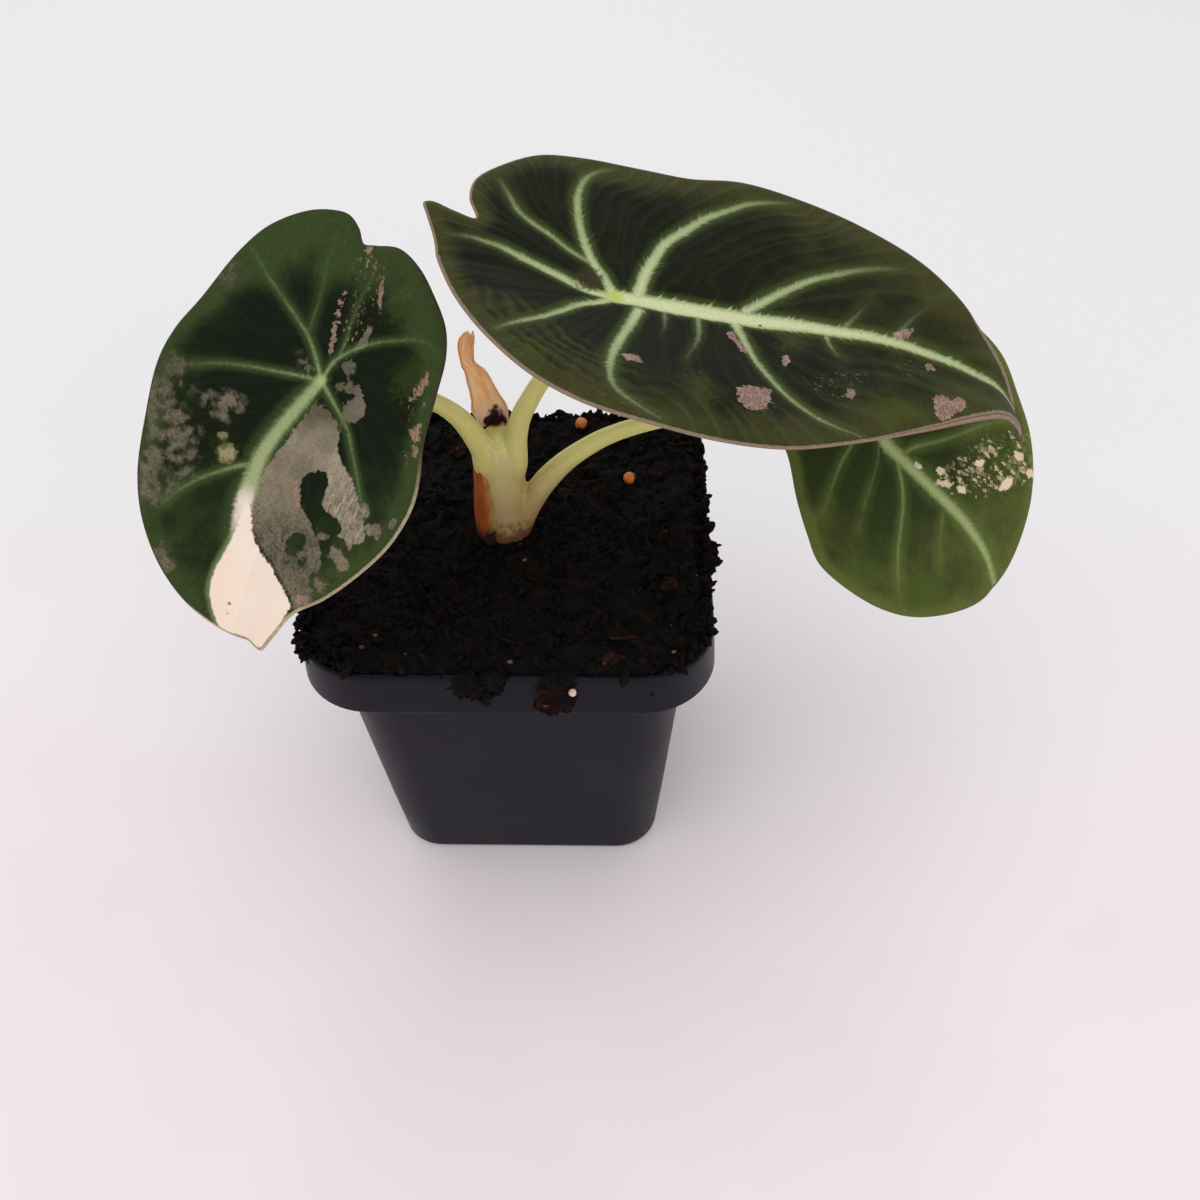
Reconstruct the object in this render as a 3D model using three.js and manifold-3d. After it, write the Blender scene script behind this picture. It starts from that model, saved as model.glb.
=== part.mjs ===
// A variegated black velvet alocasia growing in a square nursery pot. Three peltate blades stand
// on petioles that leave one sheathed crown, above a rhizome with its roots, in a bark soil.
// Millimetres, +Z up. The origin is the centre of the pot's base, and the pot's front faces -Y.

import * as THREE from "three";
import { mergeVertices } from "three/addons/utils/BufferGeometryUtils.js";
import Module from "manifold-3d";

const wasm = await Module();
wasm.setup();

// ---------------------------------------------------------------------------------------------
// Driving dimensions
// ---------------------------------------------------------------------------------------------

const GAP = 0.3; // clearance between neighbouring pieces
const SEED = 20240611; // every random draw in this file follows from it

const POT = {
  height: 64,
  baseHalf: 26.2, // half width of the foot
  bodyHalf: 30.8, // half width just under the rim band
  bandHalf: 35.4, // half width at the band's lower edge
  rimHalf: 35, // half width at the top
  bandHeight: 8.4,
  baseCorner: 8.4,
  bodyCorner: 11,
  rimCorner: 12.8,
  wall: 1.2,
  footChamfer: 0.6,
  drainRadius: 3.2,
  drainInset: 15.5, // drain holes' distance from the centre along X and Y
};

const SOIL = {
  level: 64.6,
  lump: 0.55, // height of the rolling surface
  ringStep: 4.4, // distance between the rings of its surface
  innerCrumbs: 22,
  crumbSpread: 62, // side of the square over which they lie
  crownClearance: 8, // none lies nearer to the crown's middle
  rimCrumbs: 24,
  rimInset: 2.2, // how far inside the rim their middles lie
};
// Clumps of soil that hang over the rim: middle, half extents and number of crumbs.
const OVERHANGS = [
  { at: [-3.4, -35.6, 63.2], half: [2.7, 0.9, 1.5], crumbs: 7 },
  { at: [10, -35.4, 64.3], half: [1.7, 0.8, 0.4], crumbs: 4 },
  { at: [34.6, -6, 64.6], half: [0.6, 2.4, 0.4], crumbs: 4 },
  { at: [-34.4, -26.5, 64.4], half: [0.5, 2.8, 0.4], crumbs: 4 },
];

const CROWN_X = -1.5;
const CROWN_Y = 0.2;
const CROWN_FOOT = 58.4; // bottom of the crown, buried
const CROWN_PROFILE = [
  // [height, radius] of the sheathed core
  [CROWN_FOOT, 4],
  [62, 4.5],
  [67, 4.3],
  [73, 4.1],
  [78, 3.95],
  [82, 3.8],
  [85, 3],
];
const SHEATH_THICKNESS = 0.6;

const BLADE_THICKNESS = 0.8;

// A blade is a height field over the plane of its midrib: `s` runs from the petiole to the tip
// and `t` across. It arches along the midrib, droops at the tip, and rises to both sides.
const LEAVES = {
  leaf_left: {
    node: [-24.8, -13.7, 106.7],
    tipward: [-0.376, -0.663, -0.647],
    facing: [-0.208, -0.62, 0.757],
    arch: 0.005,
    rearArch: 0.0001,
    droopStart: 60,
    droopRadius: 30,
    rise: [0.22, 0.32], // slope from the midrib towards +t and towards -t
    roll: [0.0021, 0.0012], // how fast each slope falls off, per mm
    twist: 0,
    rings: 5,
    perPoint: 3,
    outline: [
      [40.6, -0.4], [40.2, 2.7], [40.6, 5.5], [38.3, 6.8], [33.4, 9.2], [29, 13.9], [23.5, 18.2],
      [18, 21.3], [12, 22.6], [8, 22], [3.6, 20.6], [-3.5, 19.5], [-9, 18.6], [-13, 16.7],
      [-17, 12.7], [-20.2, 8.5], [-22, 4], [-21.5, 0], [-21, -1.8], [-22.8, -3.2], [-24, -4.8],
      [-24.2, -6], [-22.8, -10], [-18.5, -14.7], [-13.3, -17.4], [-4.5, -20], [1, -21.8],
      [6, -22.4], [14, -21.4], [22.4, -19.8], [28.5, -17.2], [34.5, -12.6], [38.6, -7],
    ],
  },
  leaf_back: {
    node: [18.5, -9.3, 117.6],
    tipward: [0.963, 0.06, -0.262],
    facing: [0.267, -0.088, 0.96],
    arch: 0.001,
    rearArch: -0.004,
    droopStart: 59,
    droopRadius: 11,
    rise: [0.165, 0.13],
    roll: [0.0008, 0],
    twist: 0.0022,
    rings: 7,
    perPoint: 3,
    outline: [
      [71.5, -1.5], [66, 2.5], [61, 7.5], [57, 13.8], [50.5, 19.7], [40.5, 24.6], [30, 27.8],
      [20, 29.3], [11.5, 28], [4.5, 28.2], [-5.5, 28.5], [-12.2, 27.2], [-18, 22.7],
      [-21.5, 18], [-22, 13.5], [-20.8, 9.6], [-24, 9.9], [-27.3, 10.6], [-28.4, 10],
      [-27.7, 7.5], [-26.2, 3], [-25, -3], [-22.6, -10.6], [-18.6, -17.7], [-12.7, -24],
      [-6, -27.3], [2.5, -28.5], [12, -28.8], [22, -27], [34, -21.5], [46, -15],
      [57.5, -8.6], [63, -6.3], [68, -5.5],
    ],
  },
  leaf_right: {
    node: [60, 1.2, 89.9],
    tipward: [0.654, -0.477, -0.588],
    facing: [0.3, -0.55, 0.78],
    arch: 0.007,
    rearArch: 0.0001,
    droopStart: 60,
    droopRadius: 30,
    rise: [0.1, 0.1],
    roll: [0.0028, 0.0028],
    twist: 0,
    rings: 5,
    perPoint: 4,
    outline: [
      [37.9, 0], [37, 4.6], [33.4, 11.9], [28.5, 18.1], [22.3, 22.6], [15.6, 25.3], [7.7, 27.7],
      [-3, 25.5], [-10, 20.5], [-15, 13], [-15.5, 5], [-12.5, -0.5], [-15.5, -5],
      [-14.5, -10.5], [-10, -15], [-4, -16.8], [2.6, -20.8], [8, -23.3], [12.5, -24.7],
      [22.1, -22.2], [29, -17.8], [34.2, -11.3], [37.6, -4],
    ],
  },
};

// Petioles start in sockets in the crown and end at the underside of their blades. Their radii
// are spaced evenly along them.
const PETIOLES = {
  petiole_left: {
    path: [
      [-3.8, -1.2, 80.6], [-4.1, -1.4, 84.2], [-5.4, -2.1, 88.2], [-7.3, -3.3, 92.5],
      [-10.2, -5, 96.5], [-16.6, -8.9, 102.4], [-24.6, -13.5, 106.4],
    ],
    radii: [1.9, 2, 1.75, 1.45, 1.35, 1.3],
    collar: { path: [[-1.9, -0.2, 75], [-3.4, -1, 80.5], [-4.3, -1.5, 84.9]], radii: [3.2, 2.65] },
  },
  petiole_back: {
    path: [
      [1.1, -0.9, 80.4], [1.7, -1.3, 86.6], [2.8, -1.8, 91.2], [4.7, -2.7, 95.6],
      [6.6, -3.6, 99.4], [12.5, -6.6, 109.3], [18.2, -9.2, 117.2],
    ],
    radii: [1.7, 1.75, 1.5, 1.35, 1.25, 1.2],
    collar: { path: [[-0.8, 0, 75], [0.9, -0.8, 80.5], [1.5, -1.2, 85.2]], radii: [3.2, 2.4] },
  },
  petiole_right: {
    path: [
      [2.3, 0.2, 69.6], [3.8, 0.3, 72.6], [6.3, 0.3, 76.5], [9.4, 0.4, 80], [12.9, 0.4, 83],
      [16.8, 0.5, 85.5], [23.7, 0.6, 88.2], [36, 1.2, 90.2], [47, 2.6, 88.2],
      [54.2, 3.8, 86.9], [57.8, 2.9, 87.9], [59.7, 1.6, 89.6],
    ],
    radii: [2, 2, 1.5, 1.3, 1.25, 1.2],
    collar: { path: [[-0.4, 0.1, 62.5], [1.6, 0.2, 68.2], [4.4, 0.3, 73.6]], radii: [3.7, 2.65] },
  },
};

// Stations of the dried sheath: a point of its upright line, its radius, the direction that its
// middle faces and its half span.
const WITHERED_STATIONS = [
  { at: [-2.6, 1, 85.6], radius: 2.9, faces: 90, span: 68 },
  { at: [-2.8, 1.4, 90.4], radius: 3, faces: 90, span: 82 },
  { at: [-3.4, 1.7, 93.2], radius: 2.3, faces: 92, span: 88 },
  { at: [-4.3, 2, 96.8], radius: 1.75, faces: 96, span: 96 },
  { at: [-5.5, 2.1, 99.2], radius: 1, faces: 104, span: 108 },
  { at: [-5.5, 2, 101.4], radius: 1.15, faces: 100, span: 96 },
  { at: [-5.3, 1.9, 103], radius: 1.4, faces: 90, span: 76 },
  { at: [-5, 1.9, 104.1], radius: 1.5, faces: 84, span: 34 },
];

// The brown sheath's half span round the crown, by height.
const BROWN_FACES = 190;
const BROWN_SPANS = [
  [59.5, 64],
  [64, 66],
  [70, 66],
  [75, 66],
  [79.5, 50],
  [82.5, 33],
  [85, 12],
];

const RHIZOME_TOP = CROWN_FOOT - GAP - 0.2;
const RHIZOME = {
  path: [[CROWN_X, CROWN_Y, RHIZOME_TOP], [CROWN_X, CROWN_Y, 55], [0, 1.6, 48.5], [2.4, 3.4, 43]],
  radii: [3.6, 3.1, 2.6, 2.4],
};
const ROOTS = { count: 7, radii: [0.95, 0.6], spread: [13, 20], depth: [8, 22], start: [44, 54] };

const PELLET_RADIUS = 1.2;
const PELLETS = { fertiliser_pellet_1: [10.9, 30.2], fertiliser_pellet_2: [20.6, 13.8] };
const BEAD_RADIUS = 0.7;
const BEAD = [11.7, -37.2, 63.4];

// Bark chips that lie on the soil: centre, half sizes, and turns about X and Z in degrees.
const CHIPS = {
  bark_chip_1: { at: [-12.7, 21.5], half: [1.7, 1.1, 0.6], tilt: 12, turn: 30 },
  bark_chip_2: { at: [8.4, 9], half: [1.5, 1, 0.6], tilt: -10, turn: 100 },
  bark_chip_3: { at: [17.8, -31.4], half: [1.7, 1, 0.6], tilt: 8, turn: 15 },
  bark_chip_4: { at: [27.5, -14.7], half: [1.5, 1.2, 0.6], tilt: -14, turn: 60 },
  bark_chip_5: { at: [25.4, 15.2], half: [1.3, 1.1, 0.6], tilt: 10, turn: 140 },
};
// The largest chip hangs over the front of the rim.
const RIM_CHIP = { at: [8.8, -36.9, 61.2], half: [3.2, 3, 0.7], tilt: 74 };

const COLOURS = {
  pot: 0x2c2930,
  soil: 0x17120f,
  rhizome: 0x6f5236,
  crown: 0xc9cf9a,
  petiole: 0xb4bb68,
  leafBack: 0x2f3a22,
  leafLeft: 0x24401f,
  leafRight: 0x3f5c27,
  brownSheath: 0x9a5a22,
  witheredSheath: 0xdcae78,
  pellet: 0xb87420,
  bead: 0xe9e3d6,
  bark: 0x4a2d20,
};

// ---------------------------------------------------------------------------------------------
// Small tools
// ---------------------------------------------------------------------------------------------

/** A repeatable random source: returns a function that draws from 0 to 1. */
function randomSource(seed) {
  let state = seed >>> 0;
  return () => {
    state = (state + 0x6d2b79f5) >>> 0;
    let mixed = Math.imul(state ^ (state >>> 15), 1 | state);
    mixed = (mixed + Math.imul(mixed ^ (mixed >>> 7), 61 | mixed)) ^ mixed;
    return ((mixed ^ (mixed >>> 14)) >>> 0) / 4294967296;
  };
}

/** A smooth, repeatable rolling value between -1 and 1 over the plane. */
function rolling(x, y) {
  const broad = Math.sin(x * 0.31 + 1.7 * Math.sin(y * 0.23)) * Math.cos(y * 0.29);
  const fine = Math.sin(x * 0.83 + 2.1 * Math.cos(y * 0.61)) * Math.sin(y * 0.77);
  return 0.55 * broad + 0.45 * fine;
}

/** A value from a table of [position, value] rows, interpolated between them. */
function interpolate(rows, position) {
  const next = rows.findIndex((row) => row[0] >= position);
  if (next === 0) return rows[0][1];
  if (next < 0) return rows[rows.length - 1][1];
  const [before, after] = [rows[next - 1], rows[next]];
  const share = (position - before[0]) / (after[0] - before[0]);
  return THREE.MathUtils.lerp(before[1], after[1], share);
}

/** A geometry from a list of points and a list of point triples. */
function geometryFrom(points, triangles) {
  const geometry = new THREE.BufferGeometry().setFromPoints(points);
  geometry.setIndex(triangles.flat());
  geometry.computeVertexNormals();
  return geometry;
}

/**
 * A closed body through a stack of rings that all have the same number of points and run
 * anticlockwise seen from the last ring. Both ends close on the middle of their ring.
 */
function skin(rings) {
  const count = rings[0].length;
  const points = rings.flat();
  const triangles = [];
  const middle = (ring) =>
    ring.reduce((sum, point) => sum.add(point), new THREE.Vector3()).divideScalar(count);
  for (let row = 0; row + 1 < rings.length; row++) {
    for (let i = 0; i < count; i++) {
      const j = (i + 1) % count;
      const [a, b] = [row * count + i, row * count + j];
      triangles.push([a, b, b + count], [a, b + count, a + count]);
    }
  }
  const last = (rings.length - 1) * count;
  const bottom = points.push(middle(rings[0])) - 1;
  const top = points.push(middle(rings[rings.length - 1])) - 1;
  for (let i = 0; i < count; i++) {
    const j = (i + 1) % count;
    triangles.push([bottom, j, i], [top, last + i, last + j]);
  }
  return geometryFrom(points, triangles);
}

/** A closed slab between two grids of points; the outer grid's columns run anticlockwise. */
function slab(outer, inner) {
  const [rows, columns] = [outer.length, outer[0].length];
  const points = [...outer.flat(), ...inner.flat()];
  const half = rows * columns;
  const triangles = [];
  const quad = (a, b, c, d) => triangles.push([a, b, c], [a, c, d]);
  for (let r = 0; r + 1 < rows; r++) {
    for (let c = 0; c + 1 < columns; c++) {
      const a = r * columns + c;
      quad(a, a + 1, a + columns + 1, a + columns);
      quad(half + a, half + a + columns, half + a + columns + 1, half + a + 1);
    }
  }
  for (let c = 0; c + 1 < columns; c++) {
    const top = (rows - 1) * columns + c;
    quad(c, half + c, half + c + 1, c + 1);
    quad(top, top + 1, half + top + 1, half + top);
  }
  for (let r = 0; r + 1 < rows; r++) {
    const left = r * columns;
    const right = left + columns - 1;
    quad(left, left + columns, half + left + columns, half + left);
    quad(right, half + right, half + right + columns, right + columns);
  }
  return geometryFrom(points, triangles);
}

/** The solid of a closed geometry, for cutting and joining. */
function solid(geometry) {
  const bare = geometry.clone();
  bare.deleteAttribute("normal");
  bare.deleteAttribute("uv");
  const merged = mergeVertices(bare, 1e-4);
  return new wasm.Manifold(
    new wasm.Mesh({
      numProp: 3,
      vertProperties: merged.attributes.position.array,
      triVerts: new Uint32Array(merged.index.array),
    }),
  );
}

/** The geometry of a solid's largest body, without the scraps that a cut leaves. */
function largestBody(manifold) {
  const bodies = manifold.decompose();
  const largest = bodies.reduce((best, body) => (body.volume() > best.volume() ? body : best));
  const mesh = largest.getMesh();
  const geometry = new THREE.BufferGeometry();
  geometry.setAttribute("position", new THREE.BufferAttribute(mesh.vertProperties, 3));
  geometry.setIndex(new THREE.BufferAttribute(mesh.triVerts, 1));
  geometry.computeVertexNormals();
  return geometry;
}

/** A value from a list that is spaced evenly over shares from 0 to 1. */
function spaced(values, share) {
  const place = share * (values.length - 1);
  const index = Math.min(Math.floor(place), values.length - 2);
  return THREE.MathUtils.lerp(values[index], values[index + 1], place - index);
}

/** A tube with closed ends along a smooth path, `grow` thicker all round. */
function stem({ path, radii }, { steps = 16, sides = 8, grow = 0 } = {}) {
  const curve = new THREE.CatmullRomCurve3(path.map((point) => new THREE.Vector3(...point)));
  const frames = curve.computeFrenetFrames(steps, false);
  const rings = [];
  for (let step = 0; step <= steps; step++) {
    const share = step / steps;
    const radius = spaced(radii, share) + grow;
    const ring = [];
    for (let side = 0; side < sides; side++) {
      const angle = (side / sides) * 2 * Math.PI;
      ring.push(
        curve
          .getPointAt(share)
          .addScaledVector(frames.normals[step], radius * Math.cos(angle))
          .addScaledVector(frames.binormals[step], radius * Math.sin(angle)),
      );
    }
    rings.push(ring);
  }
  if (grow > 0) {
    extendEnds(rings, frames.tangents[0], frames.tangents[steps], grow);
  }
  return skin(rings);
}

/** Moves the end rings of a tube outwards along its ends' directions. */
function extendEnds(rings, startDirection, endDirection, distance) {
  rings[0].forEach((point) => point.addScaledVector(startDirection, -distance));
  rings[rings.length - 1].forEach((point) => point.addScaledVector(endDirection, distance));
}

/** A ring of points around a square with rounded corners, at one height. */
function roundedSquare(half, corner, height, arcSteps = 5, sideSteps = 1) {
  const ring = [];
  const centre = half - corner;
  for (let quarter = 0; quarter < 4; quarter++) {
    const start = (quarter * Math.PI) / 2;
    const [cornerX, cornerY] = [
      centre * Math.sign(Math.cos(start + Math.PI / 4)),
      centre * Math.sign(Math.sin(start + Math.PI / 4)),
    ];
    for (let step = 0; step <= arcSteps; step++) {
      const angle = start + ((step / arcSteps) * Math.PI) / 2;
      ring.push(
        new THREE.Vector3(
          cornerX + corner * Math.cos(angle),
          cornerY + corner * Math.sin(angle),
          height,
        ),
      );
    }
    const from = ring[ring.length - 1];
    const along = new THREE.Vector3(-Math.cos(start), -Math.sin(start), 0).multiplyScalar(2 * centre);
    for (let step = 1; step < sideSteps; step++) {
      ring.push(from.clone().addScaledVector(along, step / sideSteps));
    }
  }
  return ring;
}

// ---------------------------------------------------------------------------------------------
// Pot
// ---------------------------------------------------------------------------------------------

/** The pot's shell, `grow` thicker on every face, without its drain holes. */
function potShell(grow = 0) {
  const inner = POT.wall + grow;
  const bandFoot = POT.height - POT.bandHeight;
  const row = (half, corner, height) => roundedSquare(half, corner, height);
  return skin([
    row(POT.baseHalf - POT.footChamfer, POT.baseCorner - POT.footChamfer, -grow),
    row(POT.baseHalf + grow, POT.baseCorner + grow, POT.footChamfer),
    row(POT.bodyHalf + grow, POT.bodyCorner + grow, bandFoot - grow),
    row(POT.bandHalf + grow, POT.rimCorner + grow, bandFoot - grow),
    row(POT.rimHalf + grow, POT.rimCorner + grow, POT.height + grow),
    row(POT.rimHalf - inner, POT.rimCorner - inner, POT.height + grow),
    row(POT.bandHalf - inner, POT.rimCorner - inner, bandFoot + inner),
    row(POT.bodyHalf - inner, POT.bodyCorner - inner, bandFoot + inner),
    row(POT.baseHalf - inner, POT.baseCorner - inner, inner),
  ]);
}

function pot() {
  let shell = solid(potShell());
  for (const x of [-POT.drainInset, POT.drainInset]) {
    for (const y of [-POT.drainInset, POT.drainInset]) {
      const hole = new THREE.CylinderGeometry(POT.drainRadius, POT.drainRadius, 3 * POT.wall, 16);
      hole.rotateX(Math.PI / 2);
      hole.translate(x, y, POT.wall / 2);
      shell = shell.subtract(solid(hole));
    }
  }
  return largestBody(shell);
}

// ---------------------------------------------------------------------------------------------
// Plant above the soil
// ---------------------------------------------------------------------------------------------

/** The crown's sheathed core with a collar round each petiole, before its sockets are cut. */
function crownBody(grow = 0) {
  const sides = 12;
  const rings = CROWN_PROFILE.map(([height, radius], row) => {
    const end = row === 0 ? -grow : row === CROWN_PROFILE.length - 1 ? grow : 0;
    return Array.from({ length: sides }, (_, side) => {
      const angle = (side / sides) * 2 * Math.PI;
      return new THREE.Vector3(
        CROWN_X + (radius + grow) * Math.cos(angle),
        CROWN_Y + (radius + grow) * Math.sin(angle),
        height + end,
      );
    });
  });
  let body = solid(skin(rings));
  for (const { collar } of Object.values(PETIOLES)) {
    body = body.add(solid(stem(collar, { steps: 4, sides: 10, grow })));
  }
  return body;
}

function crown() {
  let body = crownBody();
  for (const petiole of Object.values(PETIOLES)) {
    body = body.subtract(solid(stem(petiole, { grow: GAP })));
  }
  return largestBody(body);
}

/** A petiole, cut off just under the blade that it carries. */
function petiole(name, leafName) {
  const blade = solid(bladeGeometry(LEAVES[leafName], GAP));
  return largestBody(solid(stem(PETIOLES[name])).subtract(blade));
}

/** A point on an arc that starts level: [distance along, drop], for a length and a curvature. */
function arcPoint(length, curvature) {
  const turn = length * curvature;
  return [Math.sin(turn) / curvature, (1 - Math.cos(turn)) / curvature];
}

/** The point at (s, t) of a blade's middle surface, in the part's frame. */
function bladePoint(leaf, s, t) {
  const front = THREE.MathUtils.clamp(s, 0, leaf.droopStart);
  const droop = Math.max(s - leaf.droopStart, 0) / leaf.droopRadius;
  const rear = Math.min(s, 0);
  const bend = leaf.arch * front;
  let [along, drop] = arcPoint(front, leaf.arch);
  along += leaf.droopRadius * (Math.sin(bend + droop) - Math.sin(bend));
  drop += leaf.droopRadius * (Math.cos(bend) - Math.cos(bend + droop));
  const [rearAlong, rearDrop] = arcPoint(rear, leaf.rearArch);
  const lean = bend + droop + leaf.rearArch * rear;
  const side = t > 0 ? 0 : 1;
  const lift =
    leaf.rise[side] * Math.abs(t) - leaf.roll[side] * t * t + leaf.twist * s * t;
  const facing = new THREE.Vector3(...leaf.facing).normalize();
  const tipward = new THREE.Vector3(...leaf.tipward);
  tipward.addScaledVector(facing, -tipward.dot(facing)).normalize();
  const across = new THREE.Vector3().crossVectors(facing, tipward);
  return new THREE.Vector3(...leaf.node)
    .addScaledVector(tipward, along + rearAlong + lift * Math.sin(lean))
    .addScaledVector(across, t)
    .addScaledVector(facing, lift * Math.cos(lean) - drop - rearDrop);
}

/** The direction out of a blade's upper face at (s, t). */
function bladeNormal(leaf, s, t) {
  const reach = 0.4;
  const alongS = bladePoint(leaf, s + reach, t).sub(bladePoint(leaf, s - reach, t));
  const alongT = bladePoint(leaf, s, t + reach).sub(bladePoint(leaf, s, t - reach));
  return alongS.cross(alongT).normalize();
}

/** A closed blade: rings of points around the petiole, alike on both faces. */
function bladeGeometry(leaf, grow = 0) {
  const corners = leaf.outline.map(([s, t]) => new THREE.Vector3(s, t, 0));
  const edge = new THREE.CatmullRomCurve3(corners, true, "centripetal");
  const margin = edge.getPoints(leaf.outline.length * leaf.perPoint).slice(0, -1);
  const count = margin.length;
  const half = BLADE_THICKNESS / 2 + grow;
  const faces = [half, -half].map((offset) => {
    const face = [bladePoint(leaf, 0, 0).addScaledVector(bladeNormal(leaf, 0, 0), offset)];
    for (let ring = 1; ring <= leaf.rings; ring++) {
      const share = Math.pow(ring / leaf.rings, 0.8) * (1 + grow * 0.02);
      for (const { x, y } of margin) {
        const [s, t] = [x * share, y * share];
        face.push(bladePoint(leaf, s, t).addScaledVector(bladeNormal(leaf, s, t), offset));
      }
    }
    return face;
  });
  const lower = faces[0].length;
  const triangles = [];
  for (let i = 0; i < count; i++) {
    const j = (i + 1) % count;
    triangles.push([0, 1 + i, 1 + j], [lower, lower + 1 + j, lower + 1 + i]);
    for (let ring = 0; ring + 1 < leaf.rings; ring++) {
      const [a, b] = [1 + ring * count + i, 1 + ring * count + j];
      triangles.push([a, a + count, b + count], [a, b + count, b]);
      triangles.push([lower + a, lower + b + count, lower + a + count]);
      triangles.push([lower + a, lower + b, lower + b + count]);
    }
    const [a, b] = [1 + (leaf.rings - 1) * count + i, 1 + (leaf.rings - 1) * count + j];
    triangles.push([a, lower + a, lower + b], [a, lower + b, b]);
  }
  return geometryFrom(faces.flat(), triangles);
}

/**
 * A thin sheath that stands round an upright line. Each station gives the line's place, the
 * sheath's radius, the direction its middle faces and its half span, both in degrees.
 */
function sheathGeometry(stations, thickness, columns = 7) {
  const grid = (offset) =>
    stations.map(({ at, radius, faces, span }) =>
      Array.from({ length: columns }, (_, column) => {
        const degrees = faces + span * ((2 * column) / (columns - 1) - 1);
        const angle = THREE.MathUtils.degToRad(degrees);
        return new THREE.Vector3(
          at[0] + (radius + offset) * Math.cos(angle),
          at[1] + (radius + offset) * Math.sin(angle),
          at[2],
        );
      }),
    );
  return slab(grid(thickness), grid(0));
}

/** The brown cataphyll that still wraps the left of the crown. */
function brownSheathBody(grow = 0) {
  const stations = BROWN_SPANS.map(([height, span], row) => ({
    at: [CROWN_X, CROWN_Y, height - (row === 0 ? grow : 0)],
    radius: interpolate(CROWN_PROFILE, height) + GAP - grow,
    faces: BROWN_FACES,
    span: span + THREE.MathUtils.radToDeg(grow / CROWN_PROFILE[0][1]),
  }));
  return solid(sheathGeometry(stations, SHEATH_THICKNESS + 2 * grow));
}

/** A sheath, cut clear of the crown and of the two upper petioles. */
function clearedSheath(body) {
  let cleared = body.subtract(crownBody(GAP));
  for (const name of ["petiole_left", "petiole_back"]) {
    cleared = cleared.subtract(solid(stem(PETIOLES[name], { grow: GAP })));
  }
  return largestBody(cleared);
}

// ---------------------------------------------------------------------------------------------
// Below and on the soil
// ---------------------------------------------------------------------------------------------

/** The rhizome under the crown, with thick roots that spread towards the pot's foot. */
function rhizomeBody(grow = 0) {
  const random = randomSource(SEED);
  const between = ([low, high]) => THREE.MathUtils.lerp(low, high, random());
  let body = solid(stem(RHIZOME, { steps: 8, sides: 10, grow }));
  for (let index = 0; index < ROOTS.count; index++) {
    const angle = ((index + 0.6 * random()) / ROOTS.count) * 2 * Math.PI;
    const spread = between(ROOTS.spread);
    const depth = between(ROOTS.depth);
    const start = spaced(ROOTS.start, index / ROOTS.count);
    const [x, y] = [Math.cos(angle), Math.sin(angle)];
    const path = [
      [0.4 + x * 0.6, 1 + y * 0.6, start],
      [x * spread * 0.35, y * spread * 0.35, start - 2],
      [x * spread * 0.75 + random() * 2, y * spread * 0.75 - random() * 2, start - 11],
      [x * spread, y * spread, depth],
    ];
    body = body.add(solid(stem({ path, radii: ROOTS.radii }, { steps: 6, sides: 5, grow })));
  }
  return body;
}

/** The height of the soil's rolling surface. */
function soilHeight(x, y) {
  return SOIL.level + SOIL.lump * rolling(x, y);
}

/** A rough crumb with a flattened, turned shape. */
function crumb(random, x, y, z, radius) {
  const shape = new THREE.IcosahedronGeometry(radius, 0);
  shape.scale(0.8 + 0.5 * random(), 0.8 + 0.5 * random(), 0.6 + 0.3 * random());
  shape.rotateX((random() - 0.5) * 1.2);
  shape.rotateZ(random() * Math.PI);
  shape.translate(x, y, z);
  return solid(shape);
}

/** The filling of the pot up to its rolling surface. */
function soilFilling() {
  const inner = POT.wall + GAP;
  const bandFoot = POT.height - POT.bandHeight;
  const row = (half, corner, height) => roundedSquare(half, corner, height, 4, 5);
  const rings = [
    row(POT.baseHalf - inner, POT.baseCorner - inner, inner),
    row(POT.bodyHalf - inner, POT.bodyCorner - inner, bandFoot + inner),
    row(POT.bandHalf - inner, POT.rimCorner - inner, bandFoot + inner),
    row(POT.rimHalf - inner, POT.rimCorner - inner, POT.height - 0.6),
  ];
  for (let half = POT.rimHalf - inner - 0.5; half > 1; half -= SOIL.ringStep) {
    const ring = row(half, Math.min(half * 0.9, POT.rimCorner - inner), 0);
    ring.forEach((point) => point.setZ(soilHeight(point.x, point.y)));
    rings.push(ring);
  }
  return solid(skin(rings));
}

/** The soil with the crumbs that lie on it, along the rim and over it. */
function soilBody() {
  let body = soilFilling();
  const random = randomSource(SEED + 1);
  const add = (x, y, z, radius) => {
    body = body.add(crumb(random, x, y, z, radius));
  };
  for (let index = 0; index < SOIL.innerCrumbs; index++) {
    const x = (random() - 0.5) * SOIL.crumbSpread;
    const y = (random() - 0.5) * SOIL.crumbSpread;
    if (Math.hypot(x - CROWN_X, y - CROWN_Y) > SOIL.crownClearance) {
      add(x, y, soilHeight(x, y) + 0.1, 1 + 1.1 * random());
    }
  }
  const rim = roundedSquare(POT.rimHalf - SOIL.rimInset, POT.rimCorner - SOIL.rimInset, 0, 8, 20);
  for (let index = 0; index < SOIL.rimCrumbs; index++) {
    const { x, y } = rim[Math.floor(((index + random()) / SOIL.rimCrumbs) * rim.length)];
    add(x, y, soilHeight(x, y) + 0.2, 1.6 + 1.4 * random());
  }
  for (const { at, half, crumbs } of OVERHANGS) {
    for (let index = 0; index < crumbs; index++) {
      const along = (2 * index) / (crumbs - 1) - 1;
      const [x, y, z] = half.map((reach, axis) =>
        reach === Math.max(...half) ? at[axis] + reach * along : at[axis] + reach * (2 * random() - 1),
      );
      add(x, y, z, 1.7 + 0.7 * random());
    }
  }
  return body;
}

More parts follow.
